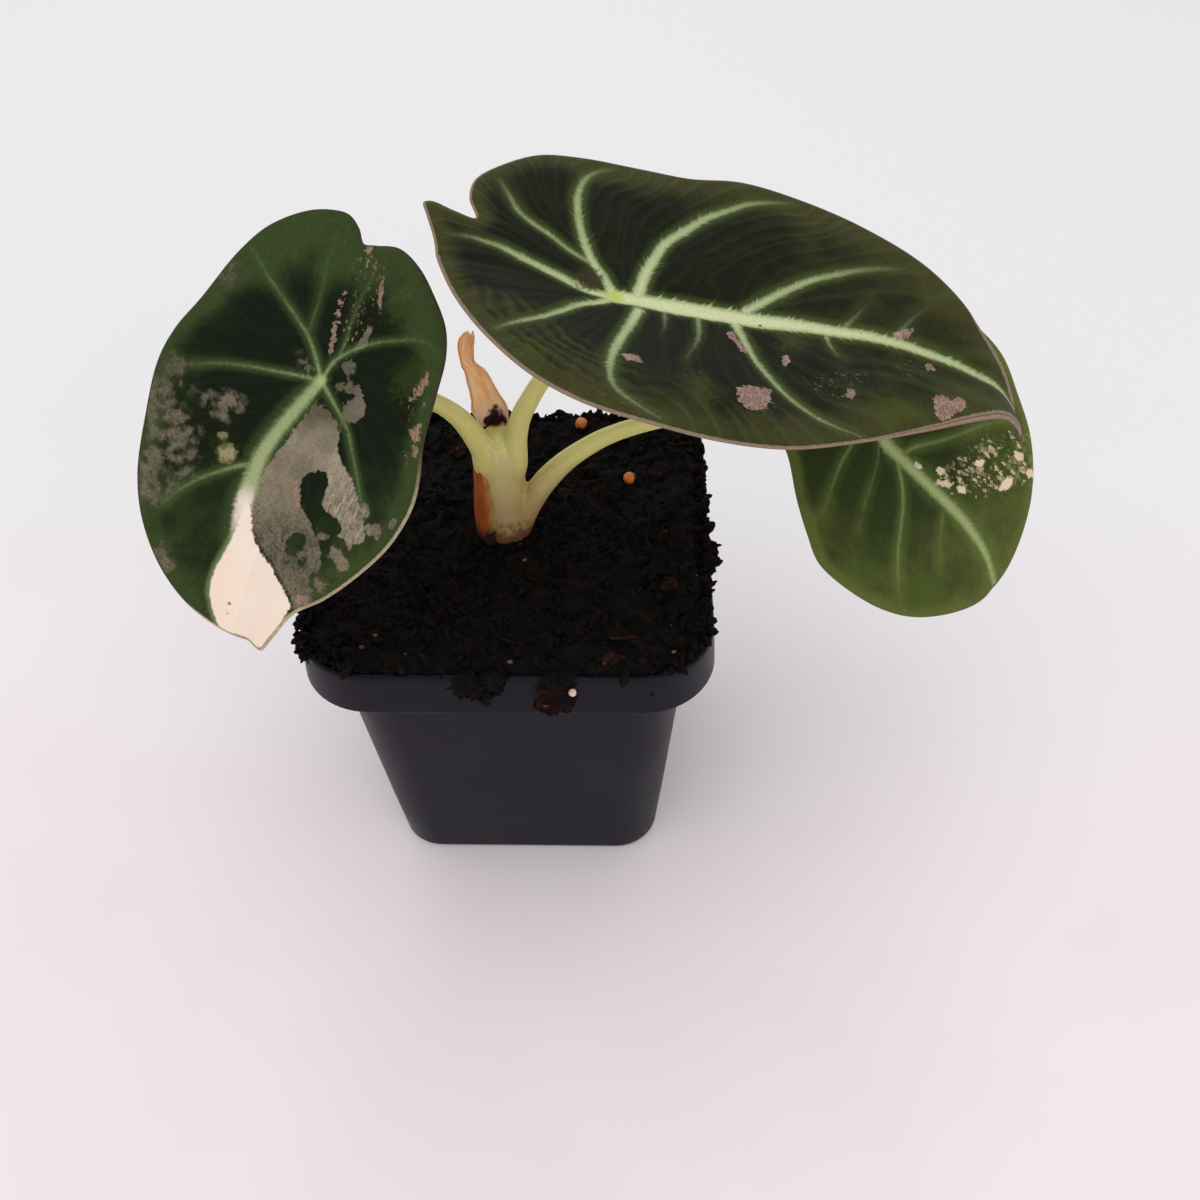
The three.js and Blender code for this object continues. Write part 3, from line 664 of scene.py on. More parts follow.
@dataclass(frozen=True)
class BladeFinish:
    """The colours of a blade."""

    deep: Colour  # between the veins near the petiole
    field: Colour  # the rest of the upper face
    outer: Colour  # towards the margin: lighter olive, partly its own colour and partly painted sheen
    halo: Colour  # beside the veins
    vein: Colour
    heart: Colour  # where the petiole joins
    rim: Colour
    cream: Colour = tone(235, 219, 203)
    cream_shade: Colour = tone(236, 210, 190)
    grey: Colour = tone(128, 118, 99)
    grey_dark: Colour = tone(84, 78, 64)
    grey_line: Colour = tone(164, 150, 130)
    pink: Colour = tone(128, 101, 88)
    pink_line: Colour = tone(176, 148, 140)
    fleck: Colour = tone(214, 190, 158)
    fleck_dim: Colour = tone(120, 106, 74)
    vein_core: Colour = tone(216, 220, 182)
    vein_streak: Colour = tone(150, 172, 104)
    speck: Colour = tone(96, 98, 54)
    lime: Colour = tone(70, 84, 28)
    pale_rim: Colour = tone(212, 196, 178)
    under: Colour = tone(112, 122, 92)
    under_vein: Colour = tone(168, 172, 132)
    barbs: float = 0.9  # the length of the spikes beside the veins
    glow: float = 1.5  # how far the halo reaches from a vein
    fleck_cells: float = 1.0  # how many flecks there are to a millimetre
    fleck_gap: float = 0.4  # the share of them that is left out
    fleck_edge: Spot = (0.4, 0.5)  # from soft to crisp
    cream_glow: float = 0.0
    vein_edge: Spot = (0.4, -0.35)  # where a vein begins and is at its palest
    halo_share: float = 0.8
    lime_share: float = 0.6
    rib_share: float = 0.25
    net_share: float = 0.6  # how plain the pale net on the pink marks is
    heart_reach: float = 1.5
    pink_trim: float = 0.0  # how much narrower the pink marks are drawn
    cream_jag: float = 0.4  # how ragged the cream marks are
    core_edge: Spot = (-0.15, -0.8)  # where a vein's pale core begins and is at its palest
    dots: tuple[tuple[float, float, float, Colour], ...] = ()  # place, size and colour
    sheen: float = 0.02
    gloss: float = 0.05

    def paint(self, name: str) -> bpy.types.Material:
        """Writes the blade's material."""
        p = Paint(name)
        spot = p.kept("blade")
        forward, across, side = p.parts(spot)
        clear, along, strength = p.parts(p.kept("vein"))
        cream_in, grey_in, pink_in = p.parts(p.kept("marks"))
        fleck_in, lime_in, margin = p.parts(p.kept("spots"))
        heart, rib, depth = p.parts(p.kept("lie"))
        net_in, patchy, crest_highlight = p.parts(p.kept("more"))

        broad = p.grain(spot, 0.09, 3.0)
        middle = p.grain(spot, 0.45, 4.0)
        fine = p.grain(spot, 2.2, 4.0, 0.65)
        nap = p.grain(spot, 7.0, 2.0, 0.7)
        ragged = p.less(p.grain(spot, 1.15, 5.0, 0.62), 0.5)

        # The green between the veins, with its finer ribs. It turns lighter olive towards the margin, partly
        # as painted sheen.
        cloud = p.sum(p.swing(broad, 1.1), p.swing(middle, 0.5))
        lines = p.sine(p.times(p.sum(rib, p.swing(middle, 0.22)), 2 * math.pi))
        colour = p.mix(p.span(p.sum(depth, cloud), 0.0, 0.55), self.outer, self.field)
        colour = p.mix(p.span(p.sum(depth, cloud), 0.4, 0.85), colour, self.deep)
        ribs = p.times(p.span(lines, 0.5, 1.0), p.span(depth, 0.9, 0.1, 0.2, 1.0))
        colour = p.coats(
            colour,
            (ribs, p.mix(self.rib_share, colour, self.halo)),
            # the crests of the margin's folds, painted lighter: a painted highlight
            (p.times(crest_highlight, 0.7), self.outer),
            (p.span(p.sum(lime_in, p.times(ragged, 7.0)), -1.5, 2.5, 0.0, self.lime_share), self.lime),
            (p.times(p.span(fine, 0.62, 0.72), p.span(depth, 0.6, 0.1, 0.05, 0.5)), self.speck),
        )

        # The halo beside the veins, drawn out in barbs.
        slanted = p.less(along, p.times(clear, 0.8))
        barb = p.grain(p.joined(slanted, p.times(clear, 0.12)), 1.3, 3.0, 0.6)
        soft = p.less(p.grain(p.joined(along, clear, 3.0), 1.7, 3.0, 0.6), 0.5)
        spike = p.times(p.span(barb, 0.48, 0.8, 0.0, self.barbs), strength)
        edge = p.sum(p.less(clear, spike), p.times(soft, 0.35))
        halo = p.times(p.span(edge, self.glow, -0.1), p.span(strength, 0.0, 0.6))
        colour = p.mix(p.times(halo, self.halo_share), colour, self.halo)

        # The grey and pink markings with their pale net.
        net = p.cells(p.sum_vector(spot, p.times(ragged, 0.9)), 0.62, "DISTANCE_TO_EDGE").outputs[0]
        small_net = p.cells(p.sum_vector(spot, p.times(ragged, 0.5)), 1.7, "DISTANCE_TO_EDGE").outputs[0]
        threads = p.most(p.span(net, 0.07, 0.0), p.times(p.span(small_net, 0.12, 0.0), 0.6))
        fibre = p.grain(p.scaled(spot, 0.5, 2.4, 1.0), 1.0, 4.0, 0.65, 0.6)
        blotch = p.grain(spot, 0.7, 4.0, 0.7)
        paler = p.span(p.sum(net_in, p.times(ragged, 2.0)), -1.0, 1.0)
        hazy = p.sum(p.times(broad, 0.5), p.times(fine, 0.5))
        pits = p.times(p.span(blotch, 0.47, 0.38, 0.0, 0.9), p.span(forward, 19.0, 26.0))
        rosy = p.times(p.span(blotch, 0.5, 0.66), p.span(fine, 0.42, 0.6))
        rosy_to = p.most(p.span(patchy, 0.0, 0.6, 0.35, 0.8), p.span(forward, 19.0, 27.0, 0.3, 0.9))
        puffs = p.less(p.grain(spot, 0.75, 2.0, 0.5), 0.5)
        grey = p.coats(
            self.grey_dark,
            (p.span(hazy, 0.36, 0.62), self.grey),
            (p.span(nap, 0.45, 0.75, 0.0, 0.16), self.grey_line),
            (p.span(fine, 0.52, 0.72, 0.0, 0.4), self.grey_dark),
            (p.span(heart, 21.0, 8.0, 0.0, 0.55), self.grey_line),
            (p.span(heart, 12.0, 4.0, 0.0, 0.4), self.halo),
            (p.span(p.grain(spot, 0.25, 2.0), 0.42, 0.58, 0.0, 0.22), self.field),
            (p.times(pits, p.less(1.0, patchy)), self.deep),
            (p.times(p.span(fibre, 0.4, 0.7), paler), self.grey_line),
            (p.times(threads, p.span(paler, 0.0, 1.0, 0.0, 0.7)), self.grey_line),
            (p.times(rosy, rosy_to), self.pink),
            (p.times(p.span(puffs, -0.06, -0.18, 0.0, 0.6), patchy), self.field),
        )
        torn = p.most(p.span(heart, 12.0, 5.0, 1.4, 3.2), p.span(forward, 20.0, 27.0, 1.4, 3.6))
        cloudy = p.sum(p.times(puffs, 4.5), p.times(ragged, 1.2))
        crisp = p.sum(grey_in, p.mix_number(patchy, p.times(ragged, torn), cloudy))
        sharp, faint = p.span(crisp, -0.12, 0.14, 0.0, 0.97), p.span(crisp, -1.0, 0.9, 0.0, 0.74)
        lit = p.sum(p.times(threads, self.net_share), p.span(nap, 0.5, 0.8, 0.0, 0.4))
        pink = p.coats(self.pink, (lit, self.pink_line), (p.span(fine, 0.5, 0.66, 0.0, 0.8), self.grey_dark))
        pink_edge = p.sum(p.less(pink_in, self.pink_trim), p.times(ragged, 2.4))
        colour = p.coats(
            colour,
            (p.times(p.mix_number(patchy, sharp, faint), p.span(forward, 4.5, 7.5, 0.62, 1.0)), grey),
            (p.span(pink_edge, -0.08, 0.1, 0.0, 0.95), pink),
        )

        # The flecks.
        shards = p.sum_vector(p.scaled(spot, 0.75, 1.0, 1.0), p.swing(fine, 1.5))
        chance, tint, _ = p.parts(p.cells(shards, self.fleck_cells).outputs["Color"])
        inner = p.cells(shards, self.fleck_cells, "DISTANCE_TO_EDGE").outputs[0]
        size = p.span(p.sum(fleck_in, p.times(ragged, 4.0)), -0.8, 1.6)
        size = p.times(size, p.span(chance, self.fleck_gap, 1.0))
        fleck = p.times(p.span(p.sum(inner, p.times(size, 0.5)), *self.fleck_edge), p.span(size, 0.02, 0.2))
        tinted = p.mix(p.span(p.sum(tint, p.swing(fine, 0.6)), 0.15, 0.85), self.fleck_dim, self.fleck)
        colour = p.mix(p.times(fleck, p.span(tint, 0.0, 1.0, 0.5, 1.0)), colour, tinted)

        # The veins, the cream markings and the place where the petiole joins.
        streaks = p.grain(p.joined(p.times(along, 0.16), p.times(clear, 1.0), 5.0), 2.0, 3.0, 0.6)
        core = p.span(p.sum(clear, p.times(soft, 0.3)), *self.core_edge)
        core = p.most(core, p.times(p.span(cream_in, -8.0, -3.0), self.cream_glow))
        vein = p.coats(
            self.vein,
            (p.span(streaks, 0.48, 0.7, 0.0, 0.5), self.vein_streak),
            (p.times(core, 0.85), self.vein_core),
            (p.times(p.span(cream_in, -3.5, -0.2), p.span(self.cream_glow, 0.0, 0.5)), self.cream),
        )
        jag = p.swing(p.grain(spot, 1.6, 3.0, 0.6), p.span(grey_in, -3.0, -0.5, self.cream_jag, 1.3))
        cream_edge = p.sum(cream_in, jag)
        beside = p.times(p.span(cream_edge, -1.0, 0.1), p.span(grey_in, -0.6, -2.4, 0.0, self.cream_glow))
        seam = p.times(p.span(cream_edge, -0.75, -0.45), p.span(cream_edge, -0.08, -0.2))
        seam = p.times(seam, p.times(p.span(fine, 0.42, 0.55), p.span(grey_in, -1.5, -0.5)))
        seam = p.times(seam, p.span(forward, 23.5, 25.0))
        cream = p.mix(p.span(broad, 0.4, 0.7, 0.0, 0.8), self.cream, self.cream_shade)
        joint = p.span(p.sum(heart, p.times(ragged, 0.6)), self.heart_reach, 0.2 * self.heart_reach, 0.0, 0.9)
        colour = p.coats(
            colour,
            (p.times(p.span(edge, *self.vein_edge), strength), vein),
            (beside, self.vein),
            (p.times(seam, 0.85), self.deep),
            (p.span(cream_edge, -0.1, 0.2), cream),
            (joint, self.heart),
        )
        for s, t, size, shade in self.dots:
            near = p.sum(p.gap(p.scaled(spot, 1.0, 1.0, 0.0), (s, t, 0.0)), p.times(ragged, 1.6 * size))
            colour = p.mix(p.span(near, size, 0.4 * size, 0.0, 0.85), colour, shade)

        # The nap, the margin and the underside.
        shade = p.sum(p.swing(nap, 0.55), p.sum(p.swing(fine, 0.6), 1.0))
        colour = p.darker(colour, p.mix_number(p.span(cream_edge, -0.1, 0.2, 0.0, 0.8), shade, 1.0))
        bleached = p.times(p.span(across, 7.0, 12.0), p.span(forward, 3.0, 13.0, 0.0, self.cream_glow))
        pale = p.most(p.span(cream_in, -4.0, -1.5), bleached)
        rim = p.coats(self.rim, (pale, self.pale_rim), (p.span(fine, 0.4, 0.7, 0.0, 0.45), self.halo))
        line = p.times(p.span(margin, 0.4, 0.5), p.span(margin, 0.66, 0.55))
        back = p.coats(
            self.under,
            (p.span(p.sum(clear, ragged), 0.5, -0.2), self.under_vein),
            (p.times(p.span(lines, 0.3, 1.0), 0.2), self.under_vein),
            (p.span(blotch, 0.45, 0.75, 0.0, 0.35), self.rim),
        )
        colour = p.coats(
            colour,
            (p.span(p.sum(margin, p.times(ragged, 0.7)), 1.2, 0.8), rim),
            (p.times(line, 0.7), self.deep),
            (p.span(side, -0.1, -0.6), p.darker(back, shade)),
        )
        return p.finish(
            Base_Color=colour,
            Roughness=p.span(p.sum(edge, cream_in), -0.5, 1.0, 0.5, 0.68),
            Normal=p.relief((small_net, 0.04), (fine, 0.06), (nap, 0.03)),
            Sheen_Weight=self.sheen,
            Sheen_Roughness=0.35,
            Sheen_Tint=(0.62, 0.64, 0.5, 1.0),
            Specular_IOR_Level=self.gloss,
        )


@dataclass(frozen=True)
class Blade:
    """A peltate blade with sunken main veins, a quilted face and a thin rolled margin."""

    name: str
    solid: str
    slot: str
    form: BladeForm
    outline: tuple[Spot, ...]
    veins: tuple[Vein, ...]
    marks: dict[MarkKind, tuple[tuple[Spot, ...], ...]]
    finish: BladeFinish
    thickness: float = 0.62
    upper_spacing: float = 0.4
    lower_spacing: float = 0.8
    bulge: float = 0.13  # how far the middle of the margin stands out
    margin_level: float = -0.14
    curl: float = 0.3  # how far the margin turns down
    groove: float = 0.26  # how deep the palest vein is sunk
    waves: float = 0.12  # how high the broad, uneven waves are
    quilt: float = 0.55
    dark_from: float = 9.0  # how far inside the margin the blade is at its darkest
    dark_reach: float = 30.0  # how far from the petiole that goes
    rim_width: tuple[float, float, float] = (0.4, 0.4, 0.4)  # +t side, -t side, -t side at the tip
    rib_depth: float = 0.06
    ribs: float = 7  # how many finer ribs lie between two veins
    ribbed: int = 8  # how many of the veins after the midrib have them
    fold_depth: float = 0.0
    fold_length: float = 2.1
    slim: float = 1.0  # how much narrower the side veins are drawn
    soft_midrib: float = 1.0  # below 1, the midrib's edges are softer than the side veins'
    dark_floor: float = 0.5  # how dark the blade stays far from the petiole
    dark_rear: float = 0.0  # how much nearer to the margin the rear is dark

    def vein_field(self, st: Array) -> dict[str, Array]:
        """How places lie to the main veins.

        Args:
            st: the places on the blade.

        Returns:
            `clear`, the distance outside the nearest vein's edge; `middle` and `half`, the distance
            from its middle line and its half width; `along`, the place along it, apart for each
            vein; `pale`, its paleness; `rib`, which counts the finer ribs between two veins; and
            `main`, whether the nearest vein is the midrib.
        """
        rows = []
        for number, vein in enumerate(self.veins):
            path = spline(vein.path, 0.8)
            distance, place, _ = line_reach(st, path)
            share = place / np.linalg.norm(np.diff(path, axis=0), axis=1).sum()
            width, pale = (np.interp(share, np.linspace(0, 1, len(v)), v) for v in (vein.widths, vein.pale))
            half = width * (self.slim if number else 1) / 2
            rows.append((distance - half, distance, half, place + VEIN_GAP * number, pale))
        table = np.array(rows)
        nearest = np.argmin(table[:, 0], axis=0)
        clear, middle, half, along, pale = table[nearest, :, np.arange(len(st))].T
        sides = np.sort(table[1 : self.ribbed + 1, 1], axis=0)
        rib = self.ribs * sides[0] / np.maximum(sides[0] + sides[1], 1e-6)
        return dict(clear=clear, middle=middle, half=half, along=along, pale=pale, rib=rib, main=nearest == 0)

    def mark_field(self, st: Array, kind: MarkKind) -> Array:
        """How far places lie inside the markings of a kind."""
        best = np.full(len(st), MARK_LIMITS[0])
        for outline in self.marks.get(kind, ()):
            best = np.maximum(best, inside_reach(st, spline(outline, 0.9, closed=True)))
        return np.clip(best, *MARK_LIMITS)

    def lattice(self, margin: Array, spacing: float) -> tuple[Array, list[tuple[int, ...]]]:
        """Triangles over the blade.

        Args:
            margin: the outline's points, which come first among the corners.
            spacing: the distance between the inner corners.

        Returns:
            The corners and the triangles.
        """
        low, high = margin.min(axis=0), margin.max(axis=0)
        rows = np.arange(low[1], high[1], spacing * math.sqrt(0.75))
        columns = np.arange(low[0], high[0], spacing)
        inner = np.array([(x + (r % 2) * spacing / 2, y) for r, y in enumerate(rows) for x in columns])
        inner = inner[inside_reach(inner, margin) > 0.6 * spacing]
        every = [Vector(p) for p in np.vstack([margin, inner]).tolist()]
        loop = [(i, (i + 1) % len(margin)) for i in range(len(margin))]
        places, _, triangles, *_ = geometry.delaunay_2d_cdt(every, loop, [], 1, 1e-7)
        return np.array([tuple(p) for p in places]), [tuple(face) for face in triangles]

    def heights(self, st: Array, reach: Array, upper: bool) -> Array:
        """How far a face stands above the blade's middle surface.

        Args:
            st: the places.
            reach: their distance inside the margin.
            upper: whether it is the upper face.

        Returns:
            The heights.
        """
        veins = self.vein_field(st)
        clear, middle, half = veins["clear"], veins["middle"], veins["half"]
        lift = self.quilt * (1 - np.exp(-np.maximum(clear, 0) / 4.5)) * ease(reach, 0.0, 6.0)
        sunk = np.exp(-((middle / (half + 0.4)) ** 2)) * veins["pale"]
        lift = lift - self.groove * sunk * ease(reach, 0.0, 2.0)
        wave = np.sin(2 * math.pi * veins["rib"] + 1.2 * Ripple(12, 9.0, 2, 2)(st))
        lift = lift + self.rib_depth * wave * ease(reach, 0.3, 2.5) * ease(clear, 0.5, 3.5)
        lift = lift + self.fold_depth * self.fold_wave(st, reach) * self.folded(st, reach, clear)
        lift = lift + self.waves * Ripple(31, 14.0, 3, 2)(st) * ease(reach, 0.5, 5.0)
        lift = lift - self.curl * np.exp(-reach / 0.55)
        if upper:
            return lift + self.thickness / 2
        raised = 0.5 * np.minimum(half, 1.2) * np.exp(-((middle / (0.8 * half + 0.2)) ** 2))
        boss = 0.9 * np.exp(-((st**2).sum(axis=1) / 2.4**2))
        thin = 0.25 * np.exp(-reach / 1.0)  # the margin is thinner than the rest
        return lift * 0.75 - self.thickness / 2 - raised * ease(reach, 0.2, 3.0) - boss + thin

    def fold_wave(self, st: Array, reach: Array) -> Array:
        """The uneven waves of the folds that run along the margin, from -1 to 1."""
        drift = 0.45 * Ripple(14, 11.0, 3, 2)(st)
        height = 0.7 + 0.3 * Ripple(15, 7.0, 2, 2)(st)
        return np.sin(2 * math.pi * (reach / self.fold_length + drift)) * height

    def folded(self, st: Array, reach: Array, clear: Array) -> Array:
        """Where the blade lies in folds along its margin, from 0 to 1."""
        zone = ease(st[:, 1], -5.0, -9.0) * ease(st[:, 0], 9.0, -2.0) * ease(st[:, 0], -24.0, -19.0)
        return zone * ease(reach, 0.2, 1.0) * ease(reach, 15.0, 9.0) * ease(clear, 0.2, 1.5)

    def keep_fields(self, piece: bpy.types.Object, places: Array, sides: Array, reach: Array) -> None:
        """Keeps on the mesh what the finish is drawn from.

        Args:
            piece: the blade's mesh.
            places: where its corners lie on the blade.
            sides: 1 for corners of the upper face, -1 for the lower face and 0 between them.
            reach: the corners' distance inside the margin.
        """
        veins = self.vein_field(places)
        left, right, tip = self.rim_width
        share = places[:, 0] / places[sides > 0, 0].max()
        width = np.where(
            places[:, 1] > 0,
            left + (1.8 * tip - left) * ease(share, 0.78, 0.95),
            right + (tip - right) * ease(share, 0.45, 0.95),
        )
        cream, grey, green, pink, flecks, lime, net = (self.mark_field(places, kind) for kind in MarkKind)
        from_node = np.hypot(*places.T)
        # Darkest inside the margin and near the petiole; the lighter olive towards the margin is partly
        # painted sheen.
        inward = reach * (1 + self.dark_rear * ease(places[:, 0], -2.0, -12.0))
        depth = ease(inward, 0.5, self.dark_from) * (0.55 + 0.45 * ease(veins["clear"], 0.2, 2.5))
        near = np.exp(-((from_node / self.dark_reach) ** 2))
        depth = depth * (self.dark_floor + (1.25 - self.dark_floor) * near)
        folded = self.folded(places, reach, veins["clear"]) * (self.fold_depth > 0)
        # The crests of the margin's folds, which the finish paints lighter as a highlight.
        crest_highlight = folded * (0.5 + 0.5 * self.fold_wave(places, reach))
        seen = np.clip(veins["clear"], -3, 9) * np.where(veins["main"], self.soft_midrib, 1.0)
        patchy = np.maximum(ease(places[:, 1], -2.0, -5.0), 0.55 * ease(places[:, 0], 21.0, 28.0))
        record(piece, "blade", places, sides)
        record(piece, "vein", seen, veins["along"], veins["pale"])
        record(piece, "marks", cream, np.minimum(grey, -green), pink)
        record(piece, "spots", flecks, lime, reach / width)
        record(piece, "lie", from_node, veins["rib"], depth * (1 - 0.6 * crest_highlight))
        record(piece, "more", net, patchy, crest_highlight)

    def build(self) -> bpy.types.Object:
        """Makes, dresses and places the blade."""
        line = spline(self.outline, 0.3, closed=True)
        around = np.linalg.norm(np.diff(line, axis=0), axis=1).sum()
        margin = even(line, round(around / (1.1 * self.upper_spacing)), closed=True)
        count = len(margin)
        upper, upper_faces = self.lattice(margin, self.upper_spacing)
        lower, lower_faces = self.lattice(margin, self.lower_spacing)
        outward = unit(np.roll(margin, -1, axis=0) - np.roll(margin, 1, axis=0))
        middle = margin + self.bulge * np.stack([outward[:, 1], -outward[:, 0]], axis=1)
        places = np.vstack([upper, middle, lower])
        sides = np.repeat((1.0, 0.0, -1.0), (len(upper), count, len(lower)))
        reach = np.maximum(inside_reach(places, margin), 0)
        lifts = np.where(sides > 0, self.heights(places, reach, True), self.heights(places, reach, False))
        lifts = np.where(sides == 0, self.margin_level, lifts)
        points = self.form.at(places) + self.form.normals(places) * lifts[:, None]

        rim, bottom = len(upper), len(upper) + count
        faces = [*upper_faces, *((bottom + c, bottom + b, bottom + a) for a, b, c in lower_faces)]
        for i in range(count):
            j = (i + 1) % count
            faces += [(j, i, rim + i, rim + j), (rim + j, rim + i, bottom + i, bottom + j)]
        piece = mesh_object(self.name, points, faces)
        self.keep_fields(piece, places, sides, reach)
        return place_piece(piece, self.slot, self.solid, skin=self.finish.paint(self.slot))


@dataclass(frozen=True)
class TipHook:
    """The dry, curled point at the end of the large blade."""

    path: tuple[Point, ...] = triples(
        82.1, -5.8, 91.2, 82.7, -6.1, 91.2, 83.1, -6.5, 91,
        83.3, -6.9, 90.6, 83.1, -7.1, 90.2, 82.7, -7.2, 89.9,
    )
    radii: tuple[float, ...] = (0.22, 0.25, 0.23, 0.2, 0.16, 0.08)

    def build(self) -> None:
        """Makes, dresses and places the point."""
        skin = SpeckFinish(tone(150, 112, 92), tone(96, 62, 48)).paint("dry_point")
        line = stem_path("dry_point", even(spline(self.path, 0.1), 40), self.radii)
        place_piece(stem_recipe(skin).apply(line, Spacing=0.0001, Sides=16), "leaf_back_blade")


LEFT_OUTLINE = spots(
    40.6, -0.4, 40.2, 2.7, 40.6, 5.5, 38.3, 6.8, 33.4, 9.2, 29, 13.9, 23.5, 18.2, 18, 21.3, 12, 22.6, 8, 22,
    3.6, 20.6, -3.5, 19.5, -9, 18.6, -13, 16.7, -17, 12.7, -20.2, 8.5, -22, 4, -21.5, 0, -21, -1.8, -22.8,
    -3.2, -24, -4.8, -24.2, -6, -22.8, -10, -18.5, -14.7, -13.3, -17.4, -4.5, -20, 1, -21.8, 6, -22.4, 14,
    -21.4, 22.4, -19.8, 28.5, -17.2, 34.5, -12.6, 38.6, -7,
)
LEFT_VEINS = (
    Vein(
        spots(0, 0, 4.5, -1.6, 8.7, -3, 13.4, -4.1, 17.4, -4.2, 20.6, -4.3, 24.3, -3.8, 29.4, -2.6),
        (1.9, 2, 2.2, 2.4, 2.2, 1.5), (0.8, 0.8, 0.9, 1),
    ),
    Vein(
        spots(0, 0, -3.2, -2.2, -5.5, -4.2, -6.8, -5.9, -9, -9, -11.1, -12.1, -13.2, -14.7, -14.5, -16.4),
        (1.1, 0.8, 0.5, 0.4, 0.2), (0.75, 0.6, 0.55, 0.45, 0.2),
    ),
    Vein(
        spots(-5.5, -4.2, -7.5, -4.3, -11, -4.5, -14.7, -5.1, -17.7, -5.5, -20.8, -5.7),
        (0.4, 0.3, 0.2, 0.1), (0.35, 0.3, 0.25, 0.1),
    ),
    Vein(
        spots(0, 0, 0.5, -3.1, 1.1, -5.9, 2, -10.1, 3.2, -14.1, 5, -18, 6.2, -20.3),
        (1, 0.8, 0.6, 0.5, 0.2), (0.7, 0.6, 0.5, 0.4, 0.1),
    ),
    Vein(
        spots(14.8, -4.2, 16, -6.5, 17.9, -9, 19.9, -11.3, 22.6, -13.5, 25.1, -15),
        (1.1, 0.7, 0.5, 0.3), (0.8, 0.65, 0.6, 0.4),
    ),
    Vein(
        spots(
            0, 0, -3.3, 0.9, -4.8, 2.2, -6.5, 4.3, -8.1, 7.3, -9.3, 10.5, -10.1, 12.8, -10.1, 15.5, -8.9,
            17.8,
        ),
        (1.4, 1, 0.6, 0.4, 0.2), (0.65, 0.55, 0.5, 0.4, 0.15),
    ),
    Vein(
        spots(-2.9, 1.2, -6.2, 1.5, -9.3, 1.3, -12.5, 1.3, -15.7, 1.6, -18.2, 1.9),
        (0.9, 0.7, 0.5, 0.2), (0.4, 0.3, 0.25, 0.1),
    ),
    Vein(
        spots(0, 0, 1.5, 2.4, 3.1, 4.8, 5.3, 7.8, 7.8, 9.9, 10.8, 12.3, 13.9, 14.4, 16.5, 15.9, 19.2, 16.7),
        (1.2, 0.9, 0.6, 0.5, 0.4, 0.3), (0.65, 0.6, 0.6, 0.55, 0.5, 0.3),
    ),
)
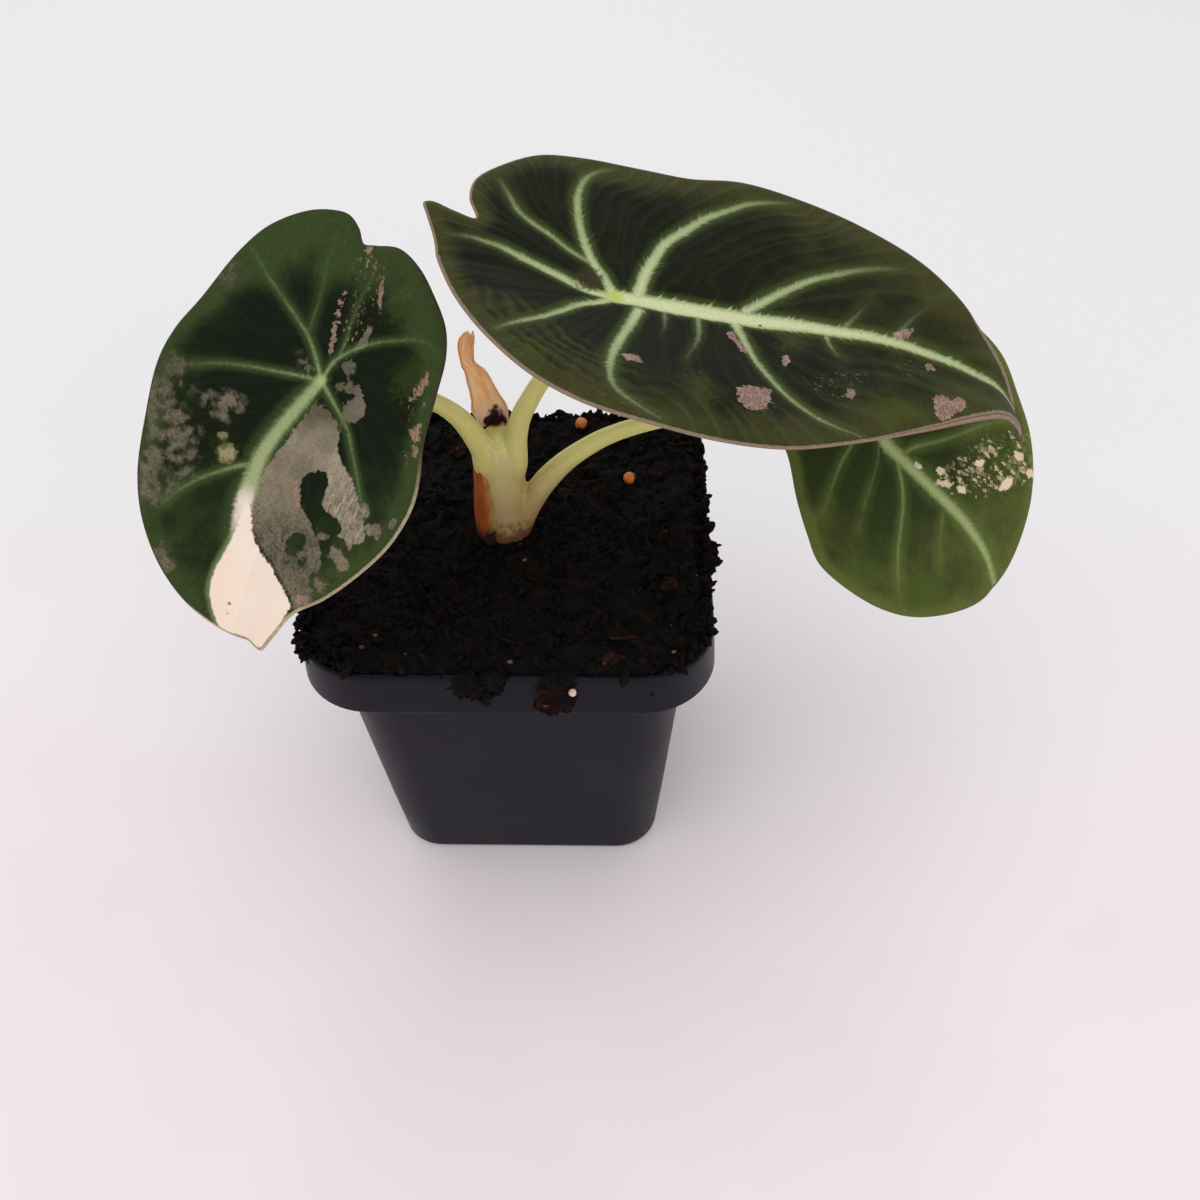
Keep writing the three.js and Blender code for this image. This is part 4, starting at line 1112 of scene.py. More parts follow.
LEFT_MARKS = {
    MarkKind.CREAM: (
        spots(
            20.9, -4.1, 23.9, -4.1, 27.3, -4.4, 31.1, -5.1, 33.7, -5.2, 35.2, -5.1, 36.4, -4.6, 38.7, -3.4,
            40.8, -1.5, 41.2, 2.3, 42.5, 1, 41.5, 5.5, 33.8, 8.3, 32.2, 8.8, 30.9, 7.5, 29.5, 5.5, 27.8,
            3.1, 26.3, -0.5, 23.5, -2.2, 21.5, -2.9,
        ),
    ),
    MarkKind.GREY: (
        spots(
            3.4, 0.9, 6.9, -0.6, 10.5, -1.6, 14, -2.6, 17.5, -3.3, 20.7, -3.4, 23.6, -2.9, 25.9, -1, 27.6,
            1.8, 29.2, 5, 30.6, 7.4, 32, 8.8, 32.4, 10.3, 31, 11.6, 28.9, 12, 27.1, 10.5, 25.4, 11.6, 23.6,
            11.6, 21.2, 9.8, 20, 8.1, 19.8, 12.9, 20, 15.6, 19, 17.4, 17.5, 16.6, 15.2, 14.9, 12.8, 13.1,
            11.1, 11.2, 9.5, 8.6, 7.8, 7.4, 5.8, 6.8, 4.5, 5,
        ),
        spots(
            8.2, -15.7, 8.4, -13.8, 7.3, -12.1, 6.7, -9.7, 8.3, -9.4, 9.2, -10.5, 10.5, -10.7, 10.3, -11.6,
            9, -12.4, 9, -13.9,
        ),
        spots(
            15.4, -20, 14.8, -17.8, 13.7, -16.1, 14.2, -12.9, 16, -13.8, 17.2, -12.8, 18.4, -13, 17.5,
            -15.4, 19.2, -15.7, 18.3, -16.6, 16.5, -16.6, 16.2, -18.2, 16.7, -19.6,
        ),
        spots(
            18.3, -19.6, 18, -18.2, 19, -16.8, 21.4, -16.8, 23.5, -15.8, 25.2, -16.2, 25.4, -17.6, 20.7,
            -19.7,
        ),
        spots(19.8, -14, 18.8, -12.3, 20.4, -12.6, 22.1, -13.9, 24.9, -15.4, 22.3, -15),
        spots(32.3, -14.6, 31.5, -13.4, 32.5, -12, 33.9, -11.4, 34.4, -12, 33.7, -13.4),
        spots(9.6, -22.2, 8.7, -21.5, 7.8, -19.1, 9.5, -18.8, 10.9, -20.1, 11.7, -21.3),
        spots(-2.1, -4.3, -2.2, -3.4, -1.1, -2, -0.1, -2, -0.9, -3.2),
        spots(12.2, -21.5, 10.9, -18.3, 12, -16, 13.6, -17.2, 14.3, -20.3),
        spots(5.2, -21.2, 4.6, -19.2, 6, -18.6, 7.2, -20),
        spots(-3.3, 2.5, -4.3, 4, -3.5, 5.3, -2.2, 5.5, -2.1, 3.9),
        spots(
            -0.2, 3.2, -1.1, 5.6, -0.6, 7.9, 1.5, 9.7, 3.1, 9.7, 4.2, 8.2, 3.6, 5.9, 1.9, 5.9, 0.8, 7.4,
            0.3, 5.9, 0.6, 3.6,
        ),
        spots(-10, 4.9, -9.8, 5.4, -7.8, 5.5, -6.4, 5, -6.1, 4, -7.7, 3.9),
        spots(17, 16.5, 16.3, 17.6, 15.9, 19.1, 17.3, 18.8, 18, 17.7),
        spots(-10.5, -18.1, -11.1, -17.4, -9.9, -17, -7.7, -17.5, -7.9, -17.9),
        spots(14.1, 14.6, 14, 15.7, 15, 16.9, 15.8, 16.3, 15.8, 15.6),
        spots(21.2, 12.9, 21.8, 14.6, 22.9, 16.3, 24.2, 15.9, 23.6, 14, 22.6, 12.6),
        spots(16, 18.8, 16.8, 19.6, 18, 19.4, 17.4, 18.3),
        spots(26.6, 12, 27, 13.8, 28, 13.4, 27.8, 11.5),
        spots(19.9, 10, 20, 11.6, 21.2, 11, 21.2, 9.8),
        spots(19.8, 15, 20.3, 15.9, 21, 15.4, 20.5, 14.6),
        spots(14.2, 21.1, 15.6, 21.2, 16, 20.4, 14.8, 20.3),
    ),
    MarkKind.NET: (
        spots(9.8, 7.1, 8.3, 8.9, 12.1, 13.5, 16.1, 17, 18.7, 17.4, 20.2, 15.3, 19.2, 12, 16.9, 9, 13, 7.6),
    ),
    MarkKind.GREEN: (
        spots(
            14.6, 3.6, 13.5, 4.1, 12.1, 7.1, 13.3, 8.3, 16.8, 8.7, 17.3, 10.7, 18, 12.7, 19, 13.3, 20.3,
            12.4, 20.2, 10.8, 19.9, 8.4, 18.6, 6, 17, 4.5,
        ),
        spots(23.4, 4.8, 21.6, 6.4, 21.7, 7.8, 23, 8.4, 24.6, 7.3, 25.4, 6.4, 24.5, 5.1),
        spots(25.4, 7.6, 24.7, 9.1, 25.5, 9.8, 26.3, 8.8),
    ),
    MarkKind.PINK: (
        spots(14.6, 2.6, 15.3, 3.4, 16.6, 4.7, 18.4, 5.1, 18.9, 4.4, 17.2, 3.1, 15.6, 2.3),
        spots(30.6, 8.8, 29.7, 10.4, 29.6, 11.8, 30.9, 11.6, 31.7, 9.8),
        spots(
            -13.6, -1.8, -13.4, -1.3, -11.2, -1, -8.7, -0.6, -6.2, -0.1, -4, 0.2, -3, -0.3, -5.9, -1.1, -9,
            -1.6, -12.3, -1.9,
        ),
        spots(
            -21.5, -1.3, -21.2, -0.4, -19.4, 0.2, -17.9, 0.1, -18.4, -0.8, -19.9, -1, -18, -1.6, -20.1,
            -1.5,
        ),
        spots(-16.9, 3.6, -16.8, 4.4, -15, 5.1, -13.1, 5.5, -12, 5.3, -14.1, 4.2),
        spots(-5.8, 16.6, -6.4, 17.6, -5.3, 17.9, -3.3, 17.8, -2.1, 17.2, -0.9, 16.3, -2.5, 16.1, -4.2, 16.4),
        spots(1.5, 16.8, 2.2, 18.1, 0.3, 18.7, 0.9, 19.6, 2.9, 20, 5.6, 20.7, 5.5, 19.8, 3.4, 18.8, 2.2, 17),
    ),
    MarkKind.FLECKS: (
        spots(-20, -1.5, -20, 2, -16, 6, -9, 5.5, -5, 1.5, -9, -0.5),
        spots(-6, 15.5, -6, 18, 6, 20.5, 12, 20.5, 6, 18.5, -1, 15.5),
        spots(20, 16, 28, 12, 31, 10, 29, 9, 24, 13),
    ),
    MarkKind.LIME: (
        spots(-17, 8, -14, 6.5, -11, 8, -13, 11, -16, 10),
        spots(14, -10.9, 13.3, -9.4, 13.7, -8, 15.1, -7, 16.4, -7.1, 17.2, -8.9, 16.7, -10, 15.4, -9.8),
        spots(20, 14, 26, 13, 27, 16, 20, 18),
        spots(-4, 12, -1, 15, -6, 18, -8, 14),
    ),
}


def leaf_left() -> Blade:
    """The left blade, with its cream tip and its grey sector."""
    return Blade(
        name="left_blade", solid="leaf_left", slot="leaf_left_blade",
        form=BladeForm(
            node=(-24.8, -13.7, 106.7), tipward=(-0.376, -0.663, -0.647), facing=(-0.208, -0.62, 0.757),
            arch=0.005, rear_arch=0.0001, droop_start=60, droop_radius=30, rise=(0.22, 0.32),
            roll=(0.0021, 0.0012), twist=0,
        ),
        outline=LEFT_OUTLINE,
        veins=LEFT_VEINS,
        marks=LEFT_MARKS,
        finish=BladeFinish(
            deep=tone(16, 24, 11), field=tone(30, 41, 19), outer=tone(52, 65, 33), halo=tone(60, 77, 40),
            vein=tone(116, 133, 85), vein_core=tone(168, 177, 128), core_edge=(0.05, -0.42),
            heart=tone(166, 174, 108), rim=tone(66, 60, 40), pale_rim=tone(190, 172, 146),
            pink=tone(132, 104, 90), pink_line=tone(182, 152, 130), fleck=tone(130, 108, 82),
            fleck_dim=tone(78, 80, 50), vein_streak=tone(140, 160, 96), barbs=0.35, glow=1.1,
            fleck_cells=2.8, fleck_gap=0.72, cream_glow=0.8, vein_edge=(0.25, -0.32), halo_share=0.72,
            pink_trim=0.22, lime_share=0.3, rib_share=0.15, heart_reach=1.4,
            dots=(
                (36, -1.8, 0.34, tone(110, 98, 78)), (37.6, -1.7, 0.22, tone(170, 154, 130)),
                (14.9, -8.7, 1.7, tone(152, 144, 104)), (12.8, -9.9, 0.9, tone(122, 122, 80)),
                (13.2, -9.6, 0.45, tone(60, 74, 36)), (14.2, -9.3, 0.7, tone(74, 82, 48)),
                (42.4, 1.4, 2, tone(214, 178, 156)),
            ),
        ),
        slim=0.62, soft_midrib=0.55, quilt=0.45, rim_width=(0.26, 0.12, 0.2), rib_depth=0.03, ribbed=7,
        dark_from=4, dark_reach=24, dark_floor=0.12, dark_rear=-0.65,
    )


BACK_OUTLINE = spots(
    71.5, -1.5, 66, 2.5, 61, 7.5, 57, 13.8, 50.5, 19.7, 40.5, 24.6, 30, 27.8, 20, 29.3, 11.5, 28, 4.5, 28.2,
    -5.5, 28.5, -12.2, 27.2, -18, 22.7, -21.5, 18, -22, 13.5, -20.8, 9.6, -24, 9.9, -27.3, 10.6, -28.4, 10,
    -27.7, 7.5, -26.2, 3, -25, -3, -22.6, -10.6, -18.6, -17.7, -12.7, -24, -6, -27.3, 2.5, -28.5, 12, -28.8,
    22, -27, 34, -21.5, 46, -15, 57.5, -8.6, 63, -6.3, 68, -5.5,
)
BACK_VEINS = (
    Vein(
        spots(
            0, 0, 3.8, 0.2, 9.8, 0.5, 16, 0.9, 22.2, 1.4, 28.6, 2.2, 35.1, 2.8, 41.8, 3.2, 46, 3.2, 50.3,
            2.7, 54.5, 2, 58.9, 0.8, 63, 0.1, 66.4, -0.9, 71.5, -1.5,
        ),
        (2.6, 2.8, 2.5, 2.1, 1.7, 1.4, 1.1, 0.8, 0.4), (1, 1, 0.97, 0.92, 0.85, 0.75, 0.5),
    ),
    Vein(
        spots(
            0, 0, -1.5, 3.2, -3.5, 6.3, -5, 10.3, -5.8, 14.3, -6.1, 18.6, -5.7, 21.4, -4.7, 24, -2.7, 25.9,
            -0.3, 27,
        ),
        (1.6, 1.35, 1.2, 1.1, 0.7, 0.2), (0.9, 0.8, 0.65, 0.6, 0.45, 0.1),
    ),
    Vein(
        spots(-3.5, 5.7, -6.8, 7.3, -9.9, 9.7, -13, 11.6, -15.1, 13.5, -16.6, 16.3, -18, 18.7),
        (0.5, 0.6, 0.7, 0.6, 0.3), (0.5, 0.5, 0.5, 0.4, 0.15),
    ),
    Vein(
        spots(0, 0, -2.2, -2, -5.2, -3.8, -8.2, -7, -11.1, -9.9, -13.9, -12.3, -16, -14.4, -17.3, -16.1),
        (1.5, 1, 0.8, 0.6, 0.2), (0.9, 0.8, 0.7, 0.6, 0.2),
    ),
    Vein(
        spots(
            0, 0, -3.6, 0.3, -5.8, 1.1, -8.1, 1.9, -11, 2.8, -14, 3.8, -17, 4.8, -19.2, 5, -21.4, 5.2,
            -24.2, 4.6,
        ),
        (1.8, 1.4, 1.3, 1.2, 0.7, 0.2), (0.95, 0.85, 0.75, 0.6, 0.4, 0.1),
    ),
    Vein(
        spots(
            3.5, 1.6, 4.5, 5.8, 6, 9.5, 7.5, 12.6, 10.7, 16.1, 13.9, 19.5, 17.9, 22.4, 21.2, 24.4, 25.4,
            25.9, 28.8, 26.5,
        ),
        (1.9, 1.6, 1.4, 1.1, 0.8, 0.2), (0.9, 0.8, 0.7, 0.6, 0.4, 0.1),
    ),
    Vein(
        spots(
            3.3, -2.3, 1.9, -6.3, 0.2, -10.7, -1.2, -15, -1.8, -18.8, -1.6, -21.7, -0.4, -23.9, 1.9, -25.9,
            4.5, -27.5,
        ),
        (1.5, 1.3, 1.15, 0.8, 0.5, 0.2), (0.85, 0.7, 0.7, 0.5, 0.35, 0.2),
    ),
    Vein(
        spots(19.9, 2.7, 23.1, 5.4, 27.2, 8.8, 31.4, 11.8, 35.6, 13.9, 40.8, 16.2, 46, 17.6, 49.5, 18.5),
        (1.4, 1.15, 1, 0.8, 0.5, 0.1), (0.85, 0.7, 0.6, 0.4, 0.2, 0),
    ),
    Vein(
        spots(
            18.2, -0.2, 19.2, -4.9, 20.2, -8.7, 22, -12.3, 24.4, -15.9, 27.7, -18.7, 31.3, -20, 34.2, -20.6,
        ),
        (1.5, 1.15, 0.9, 0.7, 0.5, 0.2), (0.85, 0.65, 0.55, 0.5, 0.4, 0.2),
    ),
    Vein(spots(36, 4, 38, 6.6, 40.4, 9.7), (0.5, 0.25, 0.05), (0.35, 0.15, 0)),
    Vein(spots(44.4, 4.5, 48, 9, 51.7, 12.3), (0.4, 0.2, 0.05), (0.3, 0.15, 0)),
    Vein(spots(32.6, 1.7, 33.4, -1, 34.3, -3.6), (0.5, 0.3, 0.05), (0.6, 0.35, 0)),
    Vein(spots(7.3, -1.5, 7, -5, 6.4, -7.6), (0.4, 0.25, 0.05), (0.4, 0.2, 0)),
    Vein(spots(12.4, -0.9, 11.9, -6, 10.4, -10, 8.5, -13.7), (0.6, 0.4, 0.2, 0.05), (0.5, 0.35, 0.15, 0)),
)
BACK_MARKS = {
    MarkKind.PINK: (
        spots(
            16.3, -17.2, 17.8, -15.9, 19.6, -15.8, 21.4, -15.1, 21.1, -17, 20.1, -19.9, 18.4, -21.2, 16.8,
            -20.8, 16, -19.3,
        ),
        spots(
            48.4, -7.9, 50.4, -6.7, 51.2, -7.5, 53, -5.8, 54.4, -6.4, 53.8, -8.1, 51.6, -9.9, 50.7, -11.2,
            48.8, -12.1, 48.2, -10.5,
        ),
        spots(43.8, 4.6, 45.7, 5.9, 47.2, 6.3, 46.6, 4.9, 44.8, 3.8),
        spots(0.1, -14.6, 1.3, -14.4, 2.6, -15.1, 2.9, -15.8, 1.2, -16.2, 0.3, -15.5),
        spots(16.7, -2.8, 17.7, -2.7, 17.7, -4.2, 18.9, -5.4, 18.7, -8, 17.9, -6.9, 17.4, -5.7, 16.5, -4.9),
        spots(24.2, -8, 25.3, -6, 25.6, -7.2, 24.6, -8.7),
        spots(33.5, -11.8, 34.5, -10.9, 34.6, -12.4, 33.5, -13.3),
        spots(49.2, 0.2, 50.5, 0.8, 50.7, -0.5, 49.3, -0.9),
    ),
    MarkKind.FLECKS: (
        spots(16, -21, 22, -17, 22.5, -21, 17.4, -24),
        spots(26.7, -9.7, 38, -5.7, 38.5, -10.8, 28.3, -14.9),
        spots(43.8, 0.2, 50.9, 0.5, 47.4, -4.6, 43.1, -6.6),
        spots(-6, -25.5, 0, -24, 4, -25.5, -1, -27),
    ),
    MarkKind.LIME: (
        spots(8.7, -16.5, 11.6, -15.4, 12.9, -19.5, 10.7, -23.7, 8.4, -21.5),
        spots(37, -14.4, 39.8, -11.9, 44.9, -10.7, 43.8, -14, 38.8, -16.2),
        spots(24.9, -1, 28.7, 0.7, 28.2, -3.2, 24.6, -5),
        spots(-16, -18, -13, -17, -10, -19, -13, -21),
    ),
}


def leaf_back() -> Blade:
    """The large blade, dark and olive with pale veins."""
    return Blade(
        name="back_blade", solid="leaf_back", slot="leaf_back_blade",
        form=BladeForm(
            node=(18.5, -9.3, 117.6), tipward=(0.963, 0.06, -0.262), facing=(0.267, -0.088, 0.96),
            arch=0.001, rear_arch=-0.004, droop_start=59, droop_radius=11, rise=(0.165, 0.13),
            roll=(0.0008, 0), twist=0.0022,
        ),
        outline=BACK_OUTLINE,
        veins=BACK_VEINS,
        marks=BACK_MARKS,
        finish=BladeFinish(
            deep=tone(22, 24, 12), field=tone(38, 41, 20), outer=tone(58, 58, 27), halo=tone(66, 82, 38),
            vein=tone(180, 190, 142), vein_core=tone(203, 207, 164), heart=tone(172, 192, 88),
            rim=tone(146, 122, 106), fleck=tone(114, 98, 68), fleck_dim=tone(74, 70, 42), fleck_cells=3.6,
            fleck_gap=0.8, rib_share=0.3, lime_share=0.42, net_share=0.95, heart_reach=2.1,
            dots=(
                (22.2, 0.7, 0.4, tone(44, 40, 26)), (-3.8, 2.6, 2.9, tone(56, 49, 31)),
            ),
        ),
        rim_width=(0.2, 0.28, 1.25), ribbed=8, dark_reach=26, dark_rear=0.9, fold_depth=0.16,
        rib_depth=0.08, slim=0.84,
    )


RIGHT_OUTLINE = spots(
    37.9, 0, 37, 4.6, 33.4, 11.9, 28.5, 18.1, 22.3, 22.6, 15.6, 25.3, 7.7, 27.7, -3, 25.5, -10, 20.5, -15,
    13, -15.5, 5, -12.5, -0.5, -15.5, -5, -14.5, -10.5, -10, -15, -4, -16.8, 2.6, -20.8, 8, -23.3, 12.5,
    -24.7, 22.1, -22.2, 29, -17.8, 34.2, -11.3, 37.6, -4,
)
RIGHT_VEINS = (
    Vein(
        spots(
            0, 0, 5.7, -1.3, 9.3, -0.8, 12.9, -0.2, 16.6, 0.5, 20.1, 1.2, 24, 1.9, 28.5, 2.2, 32.1, 2.1,
            35.2, 1.4, 37.3, 0.6,
        ),
        (2.4, 2.3, 2, 1.8, 1.6, 1.4, 1.1, 0.7), (0.9, 0.85, 0.8, 0.75),
    ),
    Vein(
        spots(0, 0, 2.1, -7.2, 3.1, -10.8, 5, -15.2, 7, -19.2),
        (1.2, 0.9, 0.7, 0.5, 0.2), (0.6, 0.5, 0.4, 0.3, 0.1),
    ),
    Vein(
        spots(2.5, -0.8, 6.3, -3.9, 8.6, -7.9, 10.2, -11.3, 12.9, -15.7),
        (0.6, 0.5, 0.3, 0.1), (0.3, 0.25, 0.2, 0.1),
    ),
    Vein(
        spots(8, -1, 11.3, -2.9, 14.6, -5.5, 17.3, -8.8, 20, -12, 23, -14.8, 26.2, -17.3),
        (1.2, 1.1, 1, 0.8, 0.6, 0.3), (0.6, 0.5, 0.45, 0.4, 0.3, 0.1),
    ),
    Vein(
        spots(9, -0.7, 9.7, 2.7, 11.4, 6.2, 13, 10, 14.8, 15.1, 17.1, 20),
        (1.2, 0.9, 0.8, 0.5, 0.2), (0.5, 0.4, 0.35, 0.3, 0.1),
    ),
    Vein(spots(20, 1.2, 24, -4, 28, -8), (0.5, 0.3, 0.1), (0.3, 0.2, 0)),
    Vein(spots(0, 0, -4, 5, -6, 12, -4, 20), (1.4, 1, 0.8, 0.3)),
    Vein(spots(0, 0, -5, -4, -9, -9), (1.4, 0.8, 0.3)),
    Vein(spots(0, 0, 2, 8, 4, 16, 8, 23), (1.4, 1, 0.7, 0.3)),
)
RIGHT_MARKS = {
    MarkKind.CREAM: (
        spots(16.1, 1.9, 17.5, 3.6, 18.7, 4.2, 18.1, 2.4),
        spots(18.3, 9.5, 19.2, 11.5, 19.9, 11.1, 19.3, 9.5),
        spots(24.9, 10.3, 24.3, 12.6, 25.1, 14.1, 26.1, 13.2, 25.8, 11.5),
        spots(14.8, 2.8, 15.2, 4.3, 16.2, 4.3, 16, 3.1),
        spots(19.3, 4.4, 20.5, 5.7, 21.3, 5, 20.3, 4),
        spots(11.5, 0.9, 12.3, 1.5, 13.2, 1.2, 12.5, 0.6),
        spots(22, 17.5, 23, 18.6, 24.4, 18.4, 23.6, 17),
        spots(26.3, 17.2, 26.8, 18.8, 28, 18.2, 27.2, 16.9),
    ),
    MarkKind.FLECKS: (
        spots(
            13.5, 2, 15.4, 6.8, 15.8, 11.2, 17, 15.9, 20.9, 21.5, 24.8, 22.5, 29.4, 17.7, 27.6, 13.4, 25.3,
            9.2, 22, 5.4, 19.8, 2.8, 16.5, 1,
        ),
        spots(14.5, 3, 16, 8, 19, 15, 22, 19, 25.5, 18, 24.5, 12, 20, 5, 17, 2.4),
    ),
    MarkKind.LIME: (
        spots(24, -14, 28, -9, 33, -9, 30, -16, 25, -19),
        spots(14, -20, 20, -18, 22, -21, 15, -23),
        spots(20, 14, 26, 13, 30, 16, 24, 21),
    ),
}


def leaf_right() -> Blade:
    """The right blade, the brightest green, flecked with cream."""
    return Blade(
        name="right_blade", solid="leaf_right", slot="leaf_right_blade",
        form=BladeForm(
            node=(60, 1.2, 89.9), tipward=(0.654, -0.477, -0.588), facing=(0.3, -0.55, 0.78), arch=0.007,
            rear_arch=0.0001, droop_start=60, droop_radius=30, rise=(0.1, 0.1), roll=(0.0028, 0.0028),
            twist=0,
        ),
        outline=RIGHT_OUTLINE,
        veins=RIGHT_VEINS,
        marks=RIGHT_MARKS,
        finish=BladeFinish(
            deep=tone(46, 55, 25), field=tone(62, 71, 32), outer=tone(88, 95, 44), halo=tone(84, 104, 50),
            vein=tone(158, 168, 112), vein_core=tone(184, 192, 136), heart=tone(150, 164, 90),
            cream=tone(222, 204, 180), cream_shade=tone(200, 178, 148), cream_jag=1.4, rim=tone(92, 96, 60),
            fleck=tone(192, 172, 140), fleck_dim=tone(112, 116, 66), pink_line=tone(190, 168, 140),
            barbs=0.3, glow=1.8, fleck_cells=1.25, fleck_gap=0.18, fleck_edge=(0.3, 0.52),
            vein_edge=(0.36, -0.34), halo_share=0.5, rib_share=0.1,
        ),
        quilt=0.4, dark_from=2.5, dark_reach=25, dark_floor=0.1, rim_width=(0.2, 0.2, 0.2), rib_depth=0.012,
        slim=0.45, soft_midrib=0.6,
    )


# ------------------------------------------------------------------------------------------
# Crown, petioles and sheaths
# ------------------------------------------------------------------------------------------


@dataclass(frozen=True)
class Stem:
    """A fleshy stem: its path and its radii, spaced evenly along it."""

    path: tuple[Point, ...]
    radii: tuple[float, ...]


@dataclass(frozen=True)
class FleshFinish:
    """The skin of the petioles and the crown, streaked along their length."""

    green: Colour = tone(206, 199, 117)
    light: Colour = tone(222, 215, 149)
    shade: Colour = tone(184, 180, 92)
    whitish: Colour = tone(198, 186, 138)
    foot: Colour = tone(172, 140, 98)
    blush: Colour = tone(120, 68, 36)
    # the dark hole at the crown's top: painted shade of an opening that the mesh doesn't have
    hole: Colour = tone(44, 10, 12)

    def paint(self, name: str) -> bpy.types.Material:
        """Writes the skin's material."""
        p = Paint(name)
        place = p.place()
        height = p.parts(place)[2]
        grain = p.kept("grain")
        streak = p.grain(grain, 1.6, 4.0, 0.6)
        soft = p.grain(place, 140.0, 3.0)
        fine = p.grain(grain, 6.0, 3.0, 0.6)
        uneven = p.swing(soft, 0.012)
        middle = p.step("ABSOLUTE", p.sum(p.parts(place)[0], 0.0011))
        bleached = p.times(p.span(middle, 0.0022, 0.0003), p.span(p.sum(height, uneven), 0.088, 0.081))
        spots = p.grain(place, 620.0, 3.0, 0.7)
        blush = p.times(p.span(p.sum(height, uneven), 0.0735, 0.065), p.span(soft, 0.42, 0.6))
        freckles = p.times(p.span(spots, 0.62, 0.7), p.span(height, 0.082, 0.068))
        # The hole at the crown's top: a spot of painted shade, since the mesh is closed there.
        near = p.sum(p.gap(place, (-0.0021, 0.0019, 0.0882)), p.swing(fine, 0.0015))
        mottle = p.sum(p.times(uneven, 0.3), p.swing(spots, 0.013))
        colour = p.coats(
            self.green,
            (p.span(streak, 0.35, 0.7, 0.0, 0.6), self.light),
            (p.span(fine, 0.5, 0.75, 0.0, 0.2), self.shade),
            (p.times(bleached, 0.55), self.whitish),
            (p.times(p.span(p.sum(height, uneven), 0.087, 0.069), 0.9), self.foot),
            (p.times(blush, 0.75), self.blush),
            (p.times(freckles, 0.5), self.blush),
            (p.span(near, 0.0019, 0.0012), self.hole),
            (p.times(p.span(p.sum(height, mottle), 0.0694, 0.0658), 0.8), p.mix(soft, self.hole, self.blush)),
        )
        return p.finish(
            Base_Color=colour,
            Roughness=0.42,
            Normal=p.relief((streak, 0.05), (fine, 0.03)),
            Subsurface_Weight=0.25,
            Subsurface_Radius=(1.0, 0.9, 0.3),
            Subsurface_Scale=0.0012,
            Specular_IOR_Level=0.4,
        )


def stem_recipe(material: bpy.types.Material) -> Recipe:
    """The Geometry Nodes that turn a path with radii into a fleshy tube.

    Args:
        material: the skin.

    Returns:
        The recipe, whose inputs are the spacing of the rings and the corners round a ring.
    """
    recipe = Recipe("fleshy_stem", {"Spacing": 0.0004, "Sides": 28})
    curve = recipe.node("MeshToCurve", {0: recipe.size("Geometry")})
    sized = recipe.node("SetCurveRadius", {0: curve.outputs[0], "Radius": recipe.named("thickness")})
    spacing = {0: sized.outputs[0], "Length": recipe.size("Spacing")}
    spaced = recipe.node("ResampleCurve", spacing, mode="LENGTH")
    sides = {"Resolution": recipe.size("Sides"), "Radius": 1.0}
    profile = recipe.node("CurvePrimitiveCircle", sides, mode="RADIUS")
    radius = recipe.node("InputRadius")
    tube = {0: spaced.outputs[0], 1: profile.outputs[0], "Scale": radius.outputs[0], "Fill Caps": True}
    return recipe.close(recipe.node("CurveToMesh", tube).outputs[0], material)


def stem_path(name: str, path: Array, radii: Sequence[float]) -> bpy.types.Object:
    """The bare path that the stem recipe turns into a tube.

    Args:
        name: the object's name.
        path: its points, in millimetres.
        radii: its radii in millimetres, spaced evenly along it.

    Returns:
        The object, which holds edges only.
    """
    mesh = bpy.data.meshes.new(name)
    mesh.from_pydata((path * MM).tolist(), [(i, i + 1) for i in range(len(path) - 1)], [])
    made = linked(name, mesh)
    record(made, "thickness", np.interp(*(np.linspace(0, 1, len(v)) for v in (path, radii)), radii) * MM)
    return made


